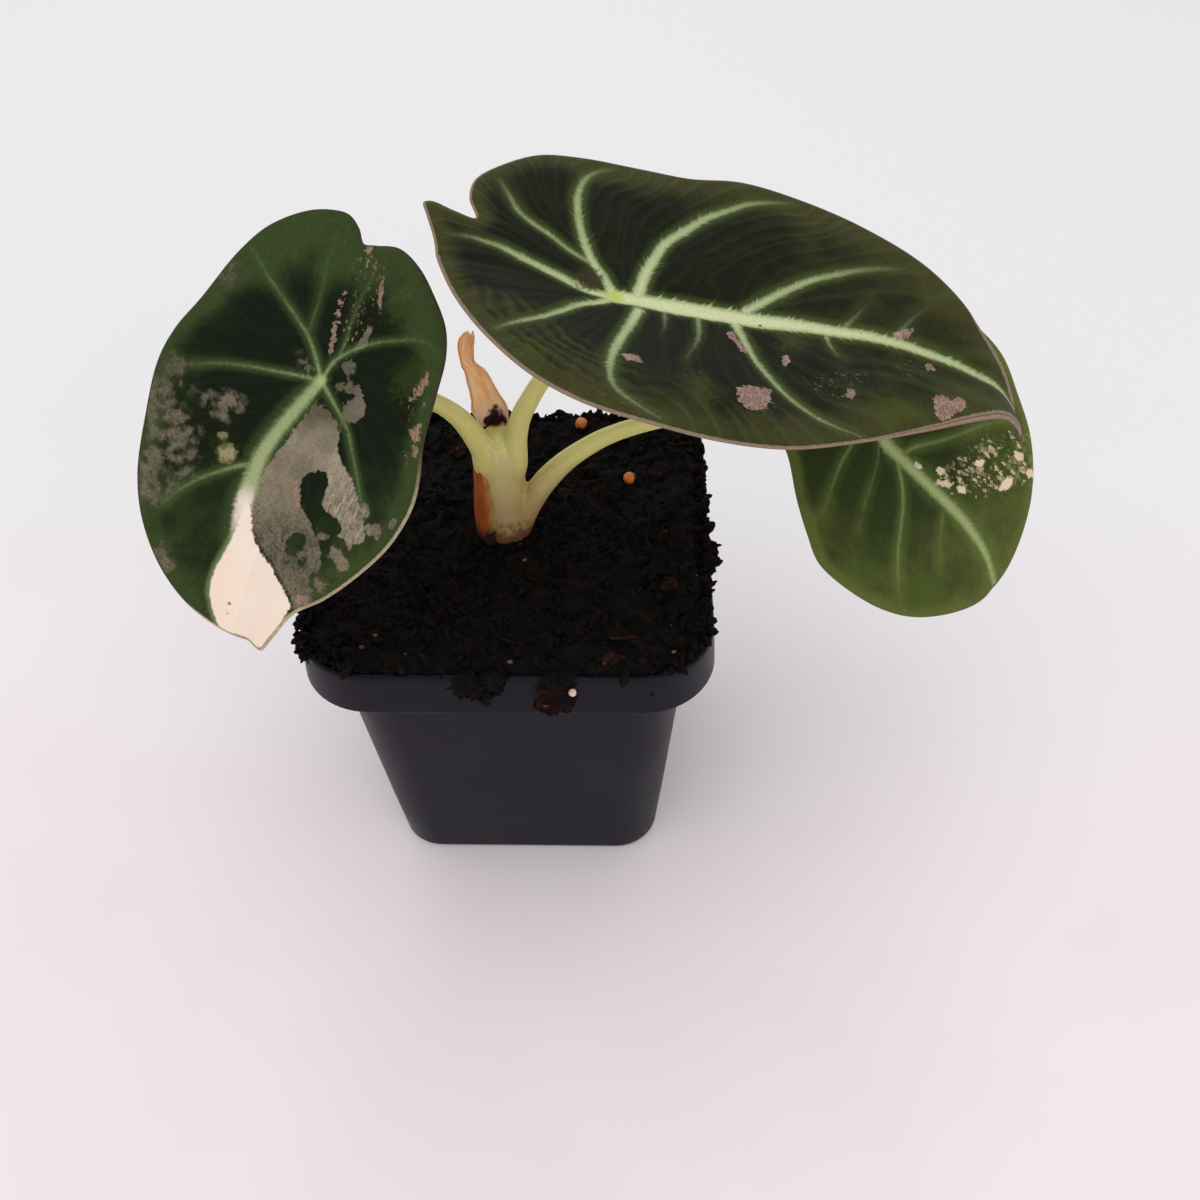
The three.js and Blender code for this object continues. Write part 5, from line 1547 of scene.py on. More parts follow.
@dataclass(frozen=True)
class Crown:
    """The sheathed crown with the three petioles that grow out of it, as one fleshy body."""

    middle: Spot = (-1.6, 0.2)
    profile: tuple[Spot, ...] = spots(  # height and radius
        58.6, 3.3, 62, 3.9, 67, 3.95, 73, 3.9, 78, 3.85, 82, 3.7, 85, 3.2, 86.6, 2.3, 87.5, 1.1
    )
    stems: tuple[Stem, ...] = (
        Stem(
            triples(
                -2.4, 0, 76, -3.8, -1.2, 80.6, -4.1, -1.4, 84.2, -5.4, -2.1, 88.2, -7.3, -3.3, 92.5,
                -10.2, -5, 96.5, -16.6, -8.9, 102.4, -24.5, -13.5, 106.2,
            ),
            (2.3, 2.2, 2.1, 1.75, 1.5, 1.4, 1.35, 1.3, 1.5),
        ),
        Stem(
            triples(
                -0.6, -0.2, 76, 1.1, -0.9, 80.4, 1.7, -1.3, 86.6, 2.8, -1.8, 91.2, 4.7, -2.7, 95.6,
                6.6, -3.6, 99.4, 12.5, -6.6, 109.3, 18.2, -9.2, 117,
            ),
            (2.2, 2, 1.8, 1.6, 1.45, 1.35, 1.3, 1.5),
        ),
        Stem(
            triples(
                -0.3, -0.2, 60, 0.5, 0, 65, 2.2, 0.2, 69.6, 3.8, 0.3, 72.6, 6.3, 0.3, 76.5, 9.4, 0.4, 80,
                12.9, 0.4, 83, 16.8, 0.5, 85.5, 23.7, 0.6, 88.2, 36, 1.2, 90.2, 47, 2.6, 88.2,
                54.2, 3.8, 86.9, 57.8, 2.9, 87.9, 59.8, 1.6, 89.4,
            ),
            (2.7, 2.35, 2.1, 1.7, 1.45, 1.35, 1.3, 1.3, 1.3, 1.4),
        ),
        Stem(triples(-2.6, 0.8, 78, -2.3, 0.8, 83, -2, 0.6, 86), (2.4, 2.2, 1.4)),
    )
    sides: int = 40
    voxel: float = 0.26
    around_scale: float = 2.2  # of the grain round a stem
    along_scale: float = 0.07  # and along it
    stem_gap: float = 11  # how far apart the grain of two stems is drawn
    block: int = 4000  # how many corners the grain is worked out for at a time
    finish: FleshFinish = field(default_factory=FleshFinish)

    def core(self) -> tuple[Array, list[tuple[int, ...]]]:
        """The middle of the crown."""
        turns = np.linspace(0, 2 * math.pi, self.sides, endpoint=False)
        lobes = 1 + 0.035 * np.sin(3 * turns + 0.8) + 0.02 * np.sin(7 * turns)
        rings = [
            at_height(circle(self.sides) * (radius * lobes)[:, None] + self.middle, height)
            for height, radius in spline(self.profile, 0.8)
        ]
        return capped_tube(np.array(rings))

    def grain(self, corners_at: Array, paths: Sequence[Array]) -> Array:
        """Coordinates that run round and along the stem that is nearest.

        Args:
            corners_at: the body's corners.
            paths: the middle line of each stem.

        Returns:
            Two coordinates round the stem and one along it, for each corner.
        """
        line = np.vstack(paths)
        tangent = np.vstack([unit(np.gradient(path, axis=0)) for path in paths])
        lengths = [np.linalg.norm(np.diff(path, axis=0), axis=1).sum() for path in paths]
        along = np.concatenate([np.linspace(0, length, len(path)) for length, path in zip(lengths, paths)])
        number = np.repeat(np.arange(len(paths)), [len(path) for path in paths])
        grain = np.zeros((len(corners_at), 3))
        for start in range(0, len(corners_at), self.block):
            block = corners_at[start : start + self.block]
            nearest = ((block[:, None, :] - line[None]) ** 2).sum(axis=2).argmin(axis=1)
            offset = unit(block - line[nearest])
            side = unit(np.cross(tangent[nearest], (0.0, 0.0, 1.0)))
            up = np.cross(side, tangent[nearest])
            across = np.stack([(offset * side).sum(axis=1), (offset * up).sum(axis=1)], axis=1)
            across = across * self.around_scale + self.stem_gap * number[nearest][:, None]
            grain[start : start + self.block] = np.column_stack([across, self.along_scale * along[nearest]])
        return grain

    def build(self) -> bpy.types.Object:
        """Makes, dresses and places the crown with its petioles."""
        skin = self.finish.paint("petiole_flesh")
        recipe = stem_recipe(skin)
        parts = [mesh_object("crown_core", *self.core())]
        paths = [even(spline(stem.path, 0.5), 90) for stem in self.stems]
        for number, (stem, path) in enumerate(zip(self.stems, paths)):
            bare = stem_path(f"stem_{number}", path, stem.radii)
            parts.append(recipe.apply(bare, Spacing=0.0004, Sides=28))

        body = join_parts("crown_and_petioles", parts)
        remesh = body.modifiers.new("union", "REMESH")
        remesh.mode = "VOXEL"
        remesh.voxel_size = self.voxel * MM
        smooth = body.modifiers.new("smooth", "SMOOTH")
        smooth.factor = 0.5
        smooth.iterations = 6
        body = settle(body)
        record(body, "grain", self.grain(corners(body), paths))
        solids = ("crown", "petiole_left", "petiole_back", "petiole_right")
        return place_piece(body, "petiole_flesh", *solids, skin=skin)


def join_parts(name: str, parts: Sequence[bpy.types.Object]) -> bpy.types.Object:
    """One mesh object from several, which are used up."""
    places: list[Array] = []
    faces: list[tuple[int, ...]] = []
    for part in parts:
        offset = sum(len(block) for block in places)
        places.append(corners(part))
        faces += [tuple(offset + v for v in face.vertices) for face in part.data.polygons]
        bpy.data.objects.remove(part)
    return mesh_object(name, np.vstack(places), faces)


@dataclass(frozen=True)
class SheathFinish:
    """A dry leaf sheath, streaked along its length."""

    body: Colour
    light: Colour
    streak: Colour
    # a dark spot: on the brown sheath a stain, on the dried sheath painted shade in its curled hollow
    stain_and_shade: Colour
    stain_and_shade_at: Point  # the middle of the dark spot
    stain_and_shade_size: float
    low: Colour  # what it fades to at the foot
    low_from: float
    low_to: float
    border: Colour  # what it fades to at its side edges
    translucent: float = 0.3

    def paint(self, name: str) -> bpy.types.Material:
        """Writes the sheath's material."""
        p = Paint(name)
        place, run = p.place(), p.kept("run")
        height, side = p.parts(place)[2], p.parts(run)[2]
        streak = p.grain(p.scaled(run, 3.2, 0.22, 1.0), 1.0, 4.0, 0.62)
        fine = p.grain(p.scaled(run, 9.0, 0.7, 1.0), 1.0, 3.0, 0.6)
        cloud = p.grain(p.scaled(run, 0.6, 0.35, 1.0), 1.0, 3.0)
        sink = p.sum(height, p.swing(cloud, 0.006))
        near = p.gap(place, tuple(v * MM for v in self.stain_and_shade_at))
        near = p.sum(near, p.swing(p.grain(place, 520.0, 4.0), 0.0042))
        colour = p.coats(
            self.body,
            (p.span(cloud, 0.35, 0.65), self.light),
            (p.span(streak, 0.52, 0.72, 0.0, 0.8), self.streak),
            (p.span(fine, 0.55, 0.8, 0.0, 0.45), self.streak),
            (p.span(side, 0.3, 0.0, 0.0, 0.35), self.streak),
            (p.span(p.sum(side, p.swing(streak, 0.5)), 0.7, 0.98), self.border),
            (p.span(sink, self.low_from * MM, self.low_to * MM), self.low),
            # the dark spot: a stain on the brown sheath, painted shade in the dried sheath's hollow
            (p.span(near, self.stain_and_shade_size * MM, 0.65 * self.stain_and_shade_size * MM), self.stain_and_shade),
        )
        return p.finish(
            Base_Color=colour,
            Roughness=0.6,
            Normal=p.relief((streak, 0.2), (fine, 0.08)),
            Subsurface_Weight=self.translucent,
            Subsurface_Radius=(1.0, 0.6, 0.3),
            Subsurface_Scale=0.001,
            Specular_IOR_Level=0.3,
        )


@dataclass(frozen=True)
class Sheath:
    """A thin sheath that stands round an upright line, with a ragged, creased edge."""

    name: str
    solid: str
    slot: str
    stations: tuple[tuple[float, ...], ...]  # a point of the line, radius, facing and half span
    finish: SheathFinish
    thickness: float
    creases: float  # how deep the lengthwise creases are
    ragged: float  # how uneven the side edges are, in degrees
    tuck: float = 0.0  # how far the side edges are pressed in
    tatter: float = 0.0  # how uneven the top edge is
    rows: int = 90
    columns: int = 60

    def border(self) -> list[int]:
        """The corners around one face's edge."""
        last, top = self.columns - 1, (self.rows - 1) * self.columns
        around = list(range(self.columns))
        around += range(self.columns + last, top + self.columns, self.columns)
        around += range(top + last - 1, top - 1, -1)
        return around + list(range(top - self.columns, 0, -self.columns))

    def build(self) -> bpy.types.Object:
        """Makes, dresses and places the sheath."""
        table = even(spline(np.array(self.stations, float), 0.5), self.rows)
        x, y, z, radius, faces_to, half_span = (column[:, None] for column in table.T)
        across = np.linspace(-1, 1, self.columns)
        heights = np.linspace(0, 1, self.rows)[:, None]
        wander = Ripple(5, 3.0, 3, 2)(at_height(z, 0.0))[:, None]
        angle = np.radians(faces_to) + np.radians(half_span + self.ragged * wander) * across
        run = np.stack([across * radius * 1.6, np.broadcast_to(z, angle.shape)], axis=-1).reshape(-1, 2)
        crease = Ripple(9, 2.2, 3, 2)(run * (1.0, 0.12)).reshape(angle.shape)
        torn = Ripple(7, 1.7, 3, 2)(run * (1.0, 0.0)).reshape(angle.shape)
        sides = np.abs(across)
        radius = radius + self.creases * crease * (0.4 + heights) - self.tuck * ease(sides, 0.7, 1.0)
        level = z + self.tatter * torn * ease(heights, 0.8, 1.0)
        edge = ease(sides, 1.0, 0.86) * ease(heights, 1.0, 0.96)
        grids = []
        for offset in (0.5, -0.5):
            out = radius + offset * self.thickness * (0.25 + 0.75 * edge)
            grids.append(np.stack([x + out * np.cos(angle), y + out * np.sin(angle), level], axis=-1))
        count = self.rows * self.columns
        faces = ring_faces(self.rows, self.columns, wrap=False)
        faces += [tuple(count + v for v in reversed(face)) for face in faces]
        around = self.border()
        faces += [(b, a, count + a, count + b) for a, b in zip(around, around[1:] + around[:1])]
        piece = mesh_object(self.name, np.vstack([grid.reshape(-1, 3) for grid in grids]), faces)
        flat = np.column_stack([run, np.broadcast_to(sides, angle.shape).ravel()])
        record(piece, "run", np.vstack([flat, flat]))
        return place_piece(piece, self.slot, self.solid, skin=self.finish.paint(self.slot))


def brown_sheath() -> Sheath:
    """The brown sheath that wraps the left of the crown."""
    rows = (
        (-2.2, 0.2, 59.6, 4.3, 96), (-2.2, 0.2, 62, 4.6, 90), (-2.3, 0.2, 64.5, 4.7, 76),
        (-2.3, 0.2, 67, 4.75, 70), (-2.2, 0.2, 71, 4.7, 71), (-2, 0.2, 75, 4.55, 68),
        (-1.8, 0.2, 79.5, 4.45, 58), (-1.6, 0.1, 82, 4.5, 42), (-1.6, 0, 84, 4.4, 22),
        (-1.8, -0.2, 85.6, 4.2, 8),
    )
    return Sheath(
        name="brown_cataphyll",
        solid="brown_sheath",
        slot="brown_sheath_skin",
        stations=tuple((x, y, z, radius, 190, span) for x, y, z, radius, span in rows),
        finish=SheathFinish(
            body=tone(148, 64, 8),
            light=tone(170, 84, 14),
            streak=tone(92, 36, 10),
            stain_and_shade=tone(40, 20, 12),
            stain_and_shade_at=(-3.4, -4.2, 66),
            stain_and_shade_size=1.8,
            low=tone(52, 26, 16),
            low_from=70,
            low_to=65,
            border=tone(158, 136, 82),
            translucent=0.06,
        ),
        thickness=0.26,
        creases=0.08,
        ragged=5,
        tuck=1.1,
    )


def dried_sheath() -> Sheath:
    """The dried, curled sheath that stands up behind the two upper petioles."""
    return Sheath(
        name="dried_cataphyll",
        solid="withered_sheath",
        slot="dry_sheath_skin",
        stations=(
            (-2.2, 0.9, 86, 2.6, 90, 70), (-2.6, 1.2, 88.4, 2.9, 90, 76), (-2.8, 1.4, 90.4, 3, 90, 82),
            (-3.4, 1.7, 93.2, 2.3, 92, 88), (-4.3, 2, 96.8, 1.75, 96, 96), (-5.5, 2.1, 99.2, 1, 104, 108),
            (-5.5, 2, 101.4, 1.15, 100, 96), (-5.3, 1.9, 103, 1.4, 90, 76), (-5, 1.9, 104.1, 1.5, 84, 40),
        ),
        finish=SheathFinish(
            body=tone(250, 200, 150),
            light=tone(255, 226, 192),
            streak=tone(226, 156, 90),
            # painted shade inside the curled sheath's hollow, at its foot
            stain_and_shade=tone(38, 0, 8),
            stain_and_shade_at=(-2, 3.6, 86.8),
            stain_and_shade_size=2.3,
            low=tone(244, 214, 190),
            low_from=91,
            low_to=88,
            border=tone(232, 160, 96),
        ),
        thickness=0.3,
        creases=0.22,
        ragged=7,
        tatter=0.9,
    )


# ------------------------------------------------------------------------------------------
# Pot
# ------------------------------------------------------------------------------------------


@dataclass(frozen=True)
class PlasticFinish:
    """Black moulded nursery-pot plastic, satin and a little dusty, with a painted reflection of the pale
    floor at its foot.
    """

    body: Colour = tone(12, 9, 17)
    # dust, also used for the painted reflection of the floor at the foot
    dust_and_reflection: Colour = tone(44, 38, 44)

    def paint(self, name: str) -> bpy.types.Material:
        """Writes the plastic's material."""
        p = Paint(name)
        place = p.place()
        height = p.parts(place)[2]
        cloud = p.grain(place, 60.0, 4.0)
        fine = p.grain(place, 900.0, 3.0, 0.6)
        draw = p.grain(p.scaled(place, 900.0, 900.0, 40.0), 1.0, 3.0)
        scuff = p.grain(p.scaled(place, 260.0, 260.0, 1500.0), 1.0, 4.0, 0.7)
        colour = p.coats(
            self.body,
            (p.span(cloud, 0.45, 0.8, 0.0, 0.1), self.dust_and_reflection),
            (p.times(p.span(scuff, 0.64, 0.76), p.span(cloud, 0.4, 0.7)), self.dust_and_reflection),
            # lighter towards the foot: painted reflection of the pale floor
            (p.times(p.span(height, 0.006, 0.0), 0.15), self.dust_and_reflection),
        )
        return p.finish(
            Base_Color=colour,
            Roughness=p.sum(p.span(cloud, 0.3, 0.7, 0.34, 0.46), p.swing(fine, 0.08)),
            Normal=p.relief((fine, 0.02), (draw, 0.012)),
            Specular_IOR_Level=0.17,
            Specular_Tint=(0.8, 0.8, 1.0, 1.0),
        )


@dataclass(frozen=True)
class NurseryPot:
    """The square, thin-walled pot with its rim band and four drain holes."""

    height: float = 64
    base_half: float = 26.2
    body_half: float = 30.8
    band_half: float = 35.4
    rim_half: float = 35
    band_height: float = 8.4
    base_corner: float = 8.4
    body_corner: float = 11
    rim_corner: float = 12.8
    wall: float = 1.2
    drain_radius: float = 3.2
    drain_inset: float = 15.5
    foot_bend: float = 1.4
    shoulder_bend: float = 1.5
    lip_bend: float = 0.4
    finish: PlasticFinish = field(default_factory=PlasticFinish)

    def profile(self) -> list[tuple[float, float, float]]:
        """Half width, corner radius and height of each ring, from the foot out, up and back in."""
        base, body, band, rim = (
            (self.base_half, self.base_corner),
            (self.body_half, self.body_corner),
            (self.band_half, self.rim_corner),
            (self.rim_half, self.rim_corner),
        )
        shoulder = self.height - self.band_height
        rows: list[tuple[float, float, float]] = []

        def ring(size: Spot, out: float, z: float) -> None:
            """Adds a ring of a size, widened by a little, at a height."""
            rows.append((size[0] + out, size[1] + out, z))

        def between(low: Spot, high: Spot, share: float) -> Spot:
            """A size between two."""
            return (low[0] + (high[0] - low[0]) * share, low[1] + (high[1] - low[1]) * share)

        ring(base, -3, 0.35)
        ring(base, -2.4, 0)
        for turn in np.radians([0, 25, 50, 75, 90]):
            ring(base, -self.foot_bend * (1 - math.sin(turn)), self.foot_bend * (1 - math.cos(turn)))
        for share in (0.25, 0.5, 0.75, 0.93):
            ring(between(base, body, share), 0, shoulder * share)
        bend = self.shoulder_bend
        neck = (between(base, body, (shoulder - bend) / shoulder)[0], self.body_corner)
        for turn in np.radians([0, 30, 60, 90]):
            ring(neck, bend * (1 - math.cos(turn)), shoulder - bend + bend * math.sin(turn))
        for turn in np.radians([0, 30, 60, 90]):
            ring(band, -self.lip_bend * (1 - math.sin(turn)), shoulder + self.lip_bend * (1 - math.cos(turn)))
        for share in (0.3, 0.6, 0.85):
            ring(between(band, rim, share), 0, shoulder + self.band_height * share)
        bend = self.wall / 2
        for turn in np.radians([0, 30, 60, 90, 120, 150, 180]):
            ring(rim, -bend * (1 - math.cos(turn)), self.height - bend + bend * math.sin(turn))
        ring(band, -self.wall, shoulder + self.wall)
        ring(body, -self.wall, shoulder + self.wall)
        ring(base, -self.wall, self.wall)
        return rows

    def drill(self) -> bpy.types.Object:
        """The four cylinders that cut the drain holes."""
        drills = []
        for x in (-self.drain_inset, self.drain_inset):
            for y in (-self.drain_inset, self.drain_inset):
                ring = (x, y) + self.drain_radius * circle(32)
                tube = np.array([at_height(ring, z) for z in (-2.0, 3.0)])
                drills.append(mesh_object("drill", *capped_tube(tube)))
        return join_parts("drill", drills)

    def build(self) -> bpy.types.Object:
        """Makes, dresses and places the pot."""
        rings = [at_height(rounded_square(half, corner, 16, 6), z) for half, corner, z in self.profile()]
        shell = mesh_object("pot_shell", *capped_tube(np.array(rings)))
        cut = shell.modifiers.new("drain_holes", "BOOLEAN")
        cut.operation = "DIFFERENCE"
        cut.solver = "EXACT"
        cut.object = drill = self.drill()
        settle(shell)
        bpy.data.objects.remove(drill)
        flat = shell.modifiers.new("crisp", "WEIGHTED_NORMAL")
        flat.keep_sharp = True
        return place_piece(settle(shell), "pot_plastic", "pot", skin=self.finish.paint("pot_plastic"))


# ------------------------------------------------------------------------------------------
# Soil and what lies on it
# ------------------------------------------------------------------------------------------


@dataclass(frozen=True)
class EarthFinish:
    """Damp bark and peat, almost black, with browner crumbs among it."""

    dark: Colour = tone(15, 14, 13)
    brown: Colour = tone(34, 21, 17)
    fibre: Colour = tone(62, 38, 30)
    cell: float = 700.0
    share: float = 0.55  # how few crumbs are brown

    def paint(self, name: str) -> bpy.types.Material:
        """Writes the earth's material."""
        p = Paint(name)
        place = p.place()
        chance = p.parts(p.cells(place, self.cell).outputs["Color"])[0]
        cloud = p.grain(place, 110.0, 3.0)
        fine = p.grain(place, 1600.0, 4.0, 0.7)
        thread = p.grain(p.scaled(place, 400.0, 2600.0, 900.0), 1.0, 3.0)
        colour = p.coats(
            self.dark,
            (p.times(p.span(chance, self.share, 1.0), p.span(cloud, 0.35, 0.7)), self.brown),
            (p.times(p.span(thread, 0.6, 0.74), p.span(chance, 0.7, 1.0)), self.fibre),
        )
        return p.finish(
            Base_Color=p.darker(colour, p.sum(p.times(fine, 0.9), 0.5)),
            Roughness=p.span(cloud, 0.3, 0.7, 0.7, 0.95),
            Normal=p.relief((fine, 0.12), (p.grain(place, 500.0, 4.0), 0.25)),
            Specular_IOR_Level=0.06,
        )


@dataclass(frozen=True)
class SpeckFinish:
    """Pale mineral or bark specks."""

    body: Colour
    shade: Colour
    rough: float = 0.8
    glow: float = 0.0

    def paint(self, name: str) -> bpy.types.Material:
        """Writes the speck's material."""
        p = Paint(name)
        place = p.place()
        fine = p.grain(place, 2400.0, 4.0, 0.6)
        cloud = p.grain(place, 420.0, 3.0)
        colour = p.mix(p.span(cloud, 0.35, 0.7), self.body, self.shade)
        return p.finish(
            Base_Color=p.darker(colour, p.sum(p.times(fine, 0.5), 0.75)),
            Roughness=self.rough,
            Normal=p.relief((fine, 0.08)),
            Subsurface_Weight=self.glow,
            Subsurface_Radius=(1.0, 0.55, 0.2),
            Subsurface_Scale=0.001,
        )


def crumb_recipe(material: bpy.types.Material) -> Recipe:
    """The Geometry Nodes that strew rough crumbs over a surface.

    Args:
        material: the crumbs' material.

    Returns:
        The recipe, whose inputs are the crumbs for each square metre, their smallest and largest
        radius, how much they are roughened, a seed, and 1 to keep the surface itself.
    """
    sizes = {"Density": 1e5, "Smallest": 0.0003, "Largest": 0.001, "Rough": 0.0004, "Seed": 1, "Keep": 0}
    recipe = Recipe("strewn_crumbs", sizes)
    node, size = recipe.node, recipe.size
    density = node("ShaderNodeMath", {0: recipe.named("cover"), 1: size("Density")}, operation="MULTIPLY")
    ground = {"Mesh": size("Geometry"), "Density": density.outputs[0], "Seed": size("Seed")}
    strewn = node("DistributePointsOnFaces", ground)
    ball = node("MeshIcoSphere", {"Radius": 1.0, "Subdivisions": 2})
    full_turn = {0: (0.0, 0.0, 0.0), 1: (6.3, 6.3, 6.3), "Seed": size("Seed")}
    turn = node("FunctionNodeRandomValue", full_turn, data_type="FLOAT_VECTOR")
    pick = node("FunctionNodeRandomValue", {"Seed": 7}, data_type="FLOAT")
    skewed = node("ShaderNodeMath", {0: pick.outputs[1], 1: 2.6}, operation="POWER")
    radius = node("ShaderNodeMapRange", {0: skewed.outputs[0], 3: size("Smallest"), 4: size("Largest")})
    shapes = {0: (0.7, 0.35, 0.3), 1: (2.2, 1.0, 0.8), "Seed": 3}
    shape = node("FunctionNodeRandomValue", shapes, data_type="FLOAT_VECTOR")
    scale = {0: shape.outputs[0], "Scale": radius.outputs[0]}
    crumbs = {
        "Points": strewn.outputs["Points"],
        "Instance": ball.outputs["Mesh"],
        "Rotation": turn.outputs[0],
        "Scale": node("ShaderNodeVectorMath", scale, operation="SCALE").outputs[0],
    }
    real = node("RealizeInstances", {0: node("InstanceOnPoints", crumbs).outputs[0]})
    lumps = node("ShaderNodeTexNoise", {"Scale": 1500.0, "Detail": 2.0}, noise_dimensions="3D")
    centred = node("ShaderNodeVectorMath", {0: lumps.outputs[1], 1: (0.5, 0.5, 0.5)}, operation="SUBTRACT")
    push = node("ShaderNodeVectorMath", {0: centred.outputs[0], "Scale": size("Rough")}, operation="SCALE")
    rough = node("SetPosition", {0: real.outputs[0], "Offset": push.outputs[0]})
    keep = node("Switch", input_type="GEOMETRY")
    feed(recipe.tree, keep, {0: size("Keep"), 2: size("Geometry")})
    joined = node("JoinGeometry", {0: rough.outputs[0]})
    feed(recipe.tree, joined, {0: keep.outputs[0]})
    return recipe.close(joined.outputs[0], material)


def lump(centre: Point, half: Point, seed: int, rings: int = 18, rough: float = 0.18) -> tuple[Array, list]:
    """A rough, rounded lump.

    Args:
        centre: its middle.
        half: its half sizes.
        seed: fixes its roughness.
        rings: how finely it is divided.
        rough: how uneven it is, as a share of its size.

    Returns:
        The corners and the faces.
    """
    polar = np.linspace(0, math.pi, rings + 2)[1:-1]
    turns = np.linspace(0, 2 * math.pi, 2 * rings, endpoint=False)
    ball = np.array(
        [[(math.sin(a) * math.cos(b), math.sin(a) * math.sin(b), -math.cos(a)) for b in turns] for a in polar]
    )
    bumps = 1 + rough * Ripple(seed, 1.4, 3)(ball.reshape(-1, 3)).reshape(ball.shape[:2])
    return capped_tube(ball * bumps[..., None] * np.array(half) + np.array(centre))


@dataclass(frozen=True)
class Soil:
    """The filling of the pot: its lumpy surface and the crumbs on it, on the rim and over it."""

    level: float = 64.6
    lump_height: float = 0.55
    half: float = 33.5
    corner: float = 11.3
    rings: int = 110
    around: int = 400
    bare_below: float = 2.4  # how far under the level the crumbs stop
    crown_clear: float = 4.2  # how far from the crown's middle they begin
    skirt: tuple[Spot, ...] = ((24.6, 1.6), (29.2, 55.6), (33.6, 57.2))  # half width and height
    seed: int = 11
    clumps: tuple[tuple[Point, Point], ...] = (  # middle and half sizes
        ((-5.4, -35.9, 63.6), (2.4, 1.5, 2.2)), ((-3.2, -36, 62.3), (2.2, 1.3, 2.3)),
        ((-1.3, -35.8, 63.8), (2, 1.4, 2)), ((8.2, -35.2, 64.3), (1.6, 1.3, 0.9)),
        ((10.6, -34.9, 64.4), (1.5, 1.1, 0.8)), ((34.9, -8, 64.4), (1.4, 1.8, 1.2)),
        ((35, -4.6, 64.3), (1.3, 1.7, 1.1)), ((-35.2, -22.9, 63.9), (1, 0.6, 0.5)),
        ((-34.9, -24.9, 63.5), (0.9, 0.5, 0.5)), ((-34.5, -26.7, 63.6), (1, 0.5, 0.6)),
        ((-33.9, -28.4, 63.3), (1, 0.5, 0.5)), ((-33, -29.9, 63.2), (0.9, 0.5, 0.6)),
    )
    finish: EarthFinish = field(default_factory=EarthFinish)

    def height(self, x: Array, y: Array) -> Array:
        """The height of the soil's rolling surface."""
        broad = np.sin(x * 0.31 + 1.7 * np.sin(y * 0.23)) * np.cos(y * 0.29)
        fine = np.sin(x * 0.83 + 2.1 * np.cos(y * 0.61)) * np.sin(y * 0.77)
        return self.level + self.lump_height * (0.55 * broad + 0.45 * fine)

    def outline(self, half: float, corner: float) -> Array:
        """Evenly spaced points around a rounded square."""
        return even(rounded_square(half, corner, 16, 8), self.around, closed=True)

    def bed(self) -> bpy.types.Object:
        """The lumpy filling."""
        outline = self.outline(self.half, self.corner)
        shares = np.linspace(1, 0.012, self.rings)
        places = np.vstack([outline * share for share in shares])
        heights = self.height(*places.T) + 0.45 * Ripple(21, 4.5, 4, 2)(places)
        heights = heights + 0.22 * Ripple(22, 1.3, 3, 2)(places)
        heights = heights - 0.9 * ease(np.repeat(shares, self.around), 0.965, 1.0)
        skirt = [at_height(outline * (half / self.half), z) for half, z in self.skirt]
        rings = np.vstack([*skirt, np.column_stack([places, heights])]).reshape(-1, self.around, 3)
        points, faces = capped_tube(rings)
        made = mesh_object("soil_bed", points, faces)
        from_crown = np.hypot(points[:, 0] + 1.5, points[:, 1] - 0.2)
        record(made, "cover", (points[:, 2] > self.level - self.bare_below) & (from_crown > self.crown_clear))
        return made

    def rim_strip(self) -> bpy.types.Object:
        """A narrow strip over the rim, on which crumbs are strewn, thickest at the sides and back."""
        rim = ((35, 12.8, 64.25), (33.2, 11.6, 64.5))  # half width, corner radius and height
        rows = np.vstack([at_height(self.outline(half, corner), z) for half, corner, z in rim])
        strip = mesh_object("rim_litter", rows, ring_faces(2, self.around))
        patches = 0.5 + 0.5 * Ripple(44, 9.0, 2)(rows)
        record(strip, "cover", (1 - 0.97 * ease(rows[:, 1], -31.0, -33.4)) * (0.35 + patches))
        return strip

    def build(self) -> None:
        """Makes, dresses and places the soil."""
        earth = self.finish.paint("soil_mix")
        recipe = crumb_recipe(earth)
        bed = self.bed()
        strewn, specks = (linked(name, bed.data.copy()) for name in ("soil_crumbs", "mineral_specks"))
        place_piece(bed, "soil_mix", "soil", skin=earth)
        strip = self.rim_strip()
        cores = [mesh_object("clump", *lump(*clump, 60 + number)) for number, clump in enumerate(self.clumps)]
        clumps = join_parts("soil_clumps", cores)
        record(clumps, "cover", np.ones(len(clumps.data.vertices)))
        clumps.data.materials.append(earth)
        for number, (target, density, smallest, largest, rough) in enumerate(
            (
                (strewn, 3.95e5, 0.00028, 0.0013, 0.0007),
                (strip, 2.4e6, 0.0003, 0.0013, 0.0007),
                (clumps, 1.1e6, 0.0003, 0.0008, 0.0006),
            )
        ):
            sizes = {"Density": density, "Smallest": smallest, "Largest": largest, "Rough": rough}
            recipe.apply(target, **sizes, Seed=self.seed + number, Keep=int(target is clumps))
            place_piece(target, "soil_mix")

        pale = crumb_recipe(SpeckFinish(tone(176, 146, 130), tone(116, 84, 70)).paint("mineral_specks"))
        sizes = {"Density": 4e3, "Smallest": 0.00014, "Largest": 0.0004, "Rough": 0.0002}
        pale.apply(specks, **sizes, Seed=self.seed + 5, Keep=0)
        place_piece(specks, "perlite")


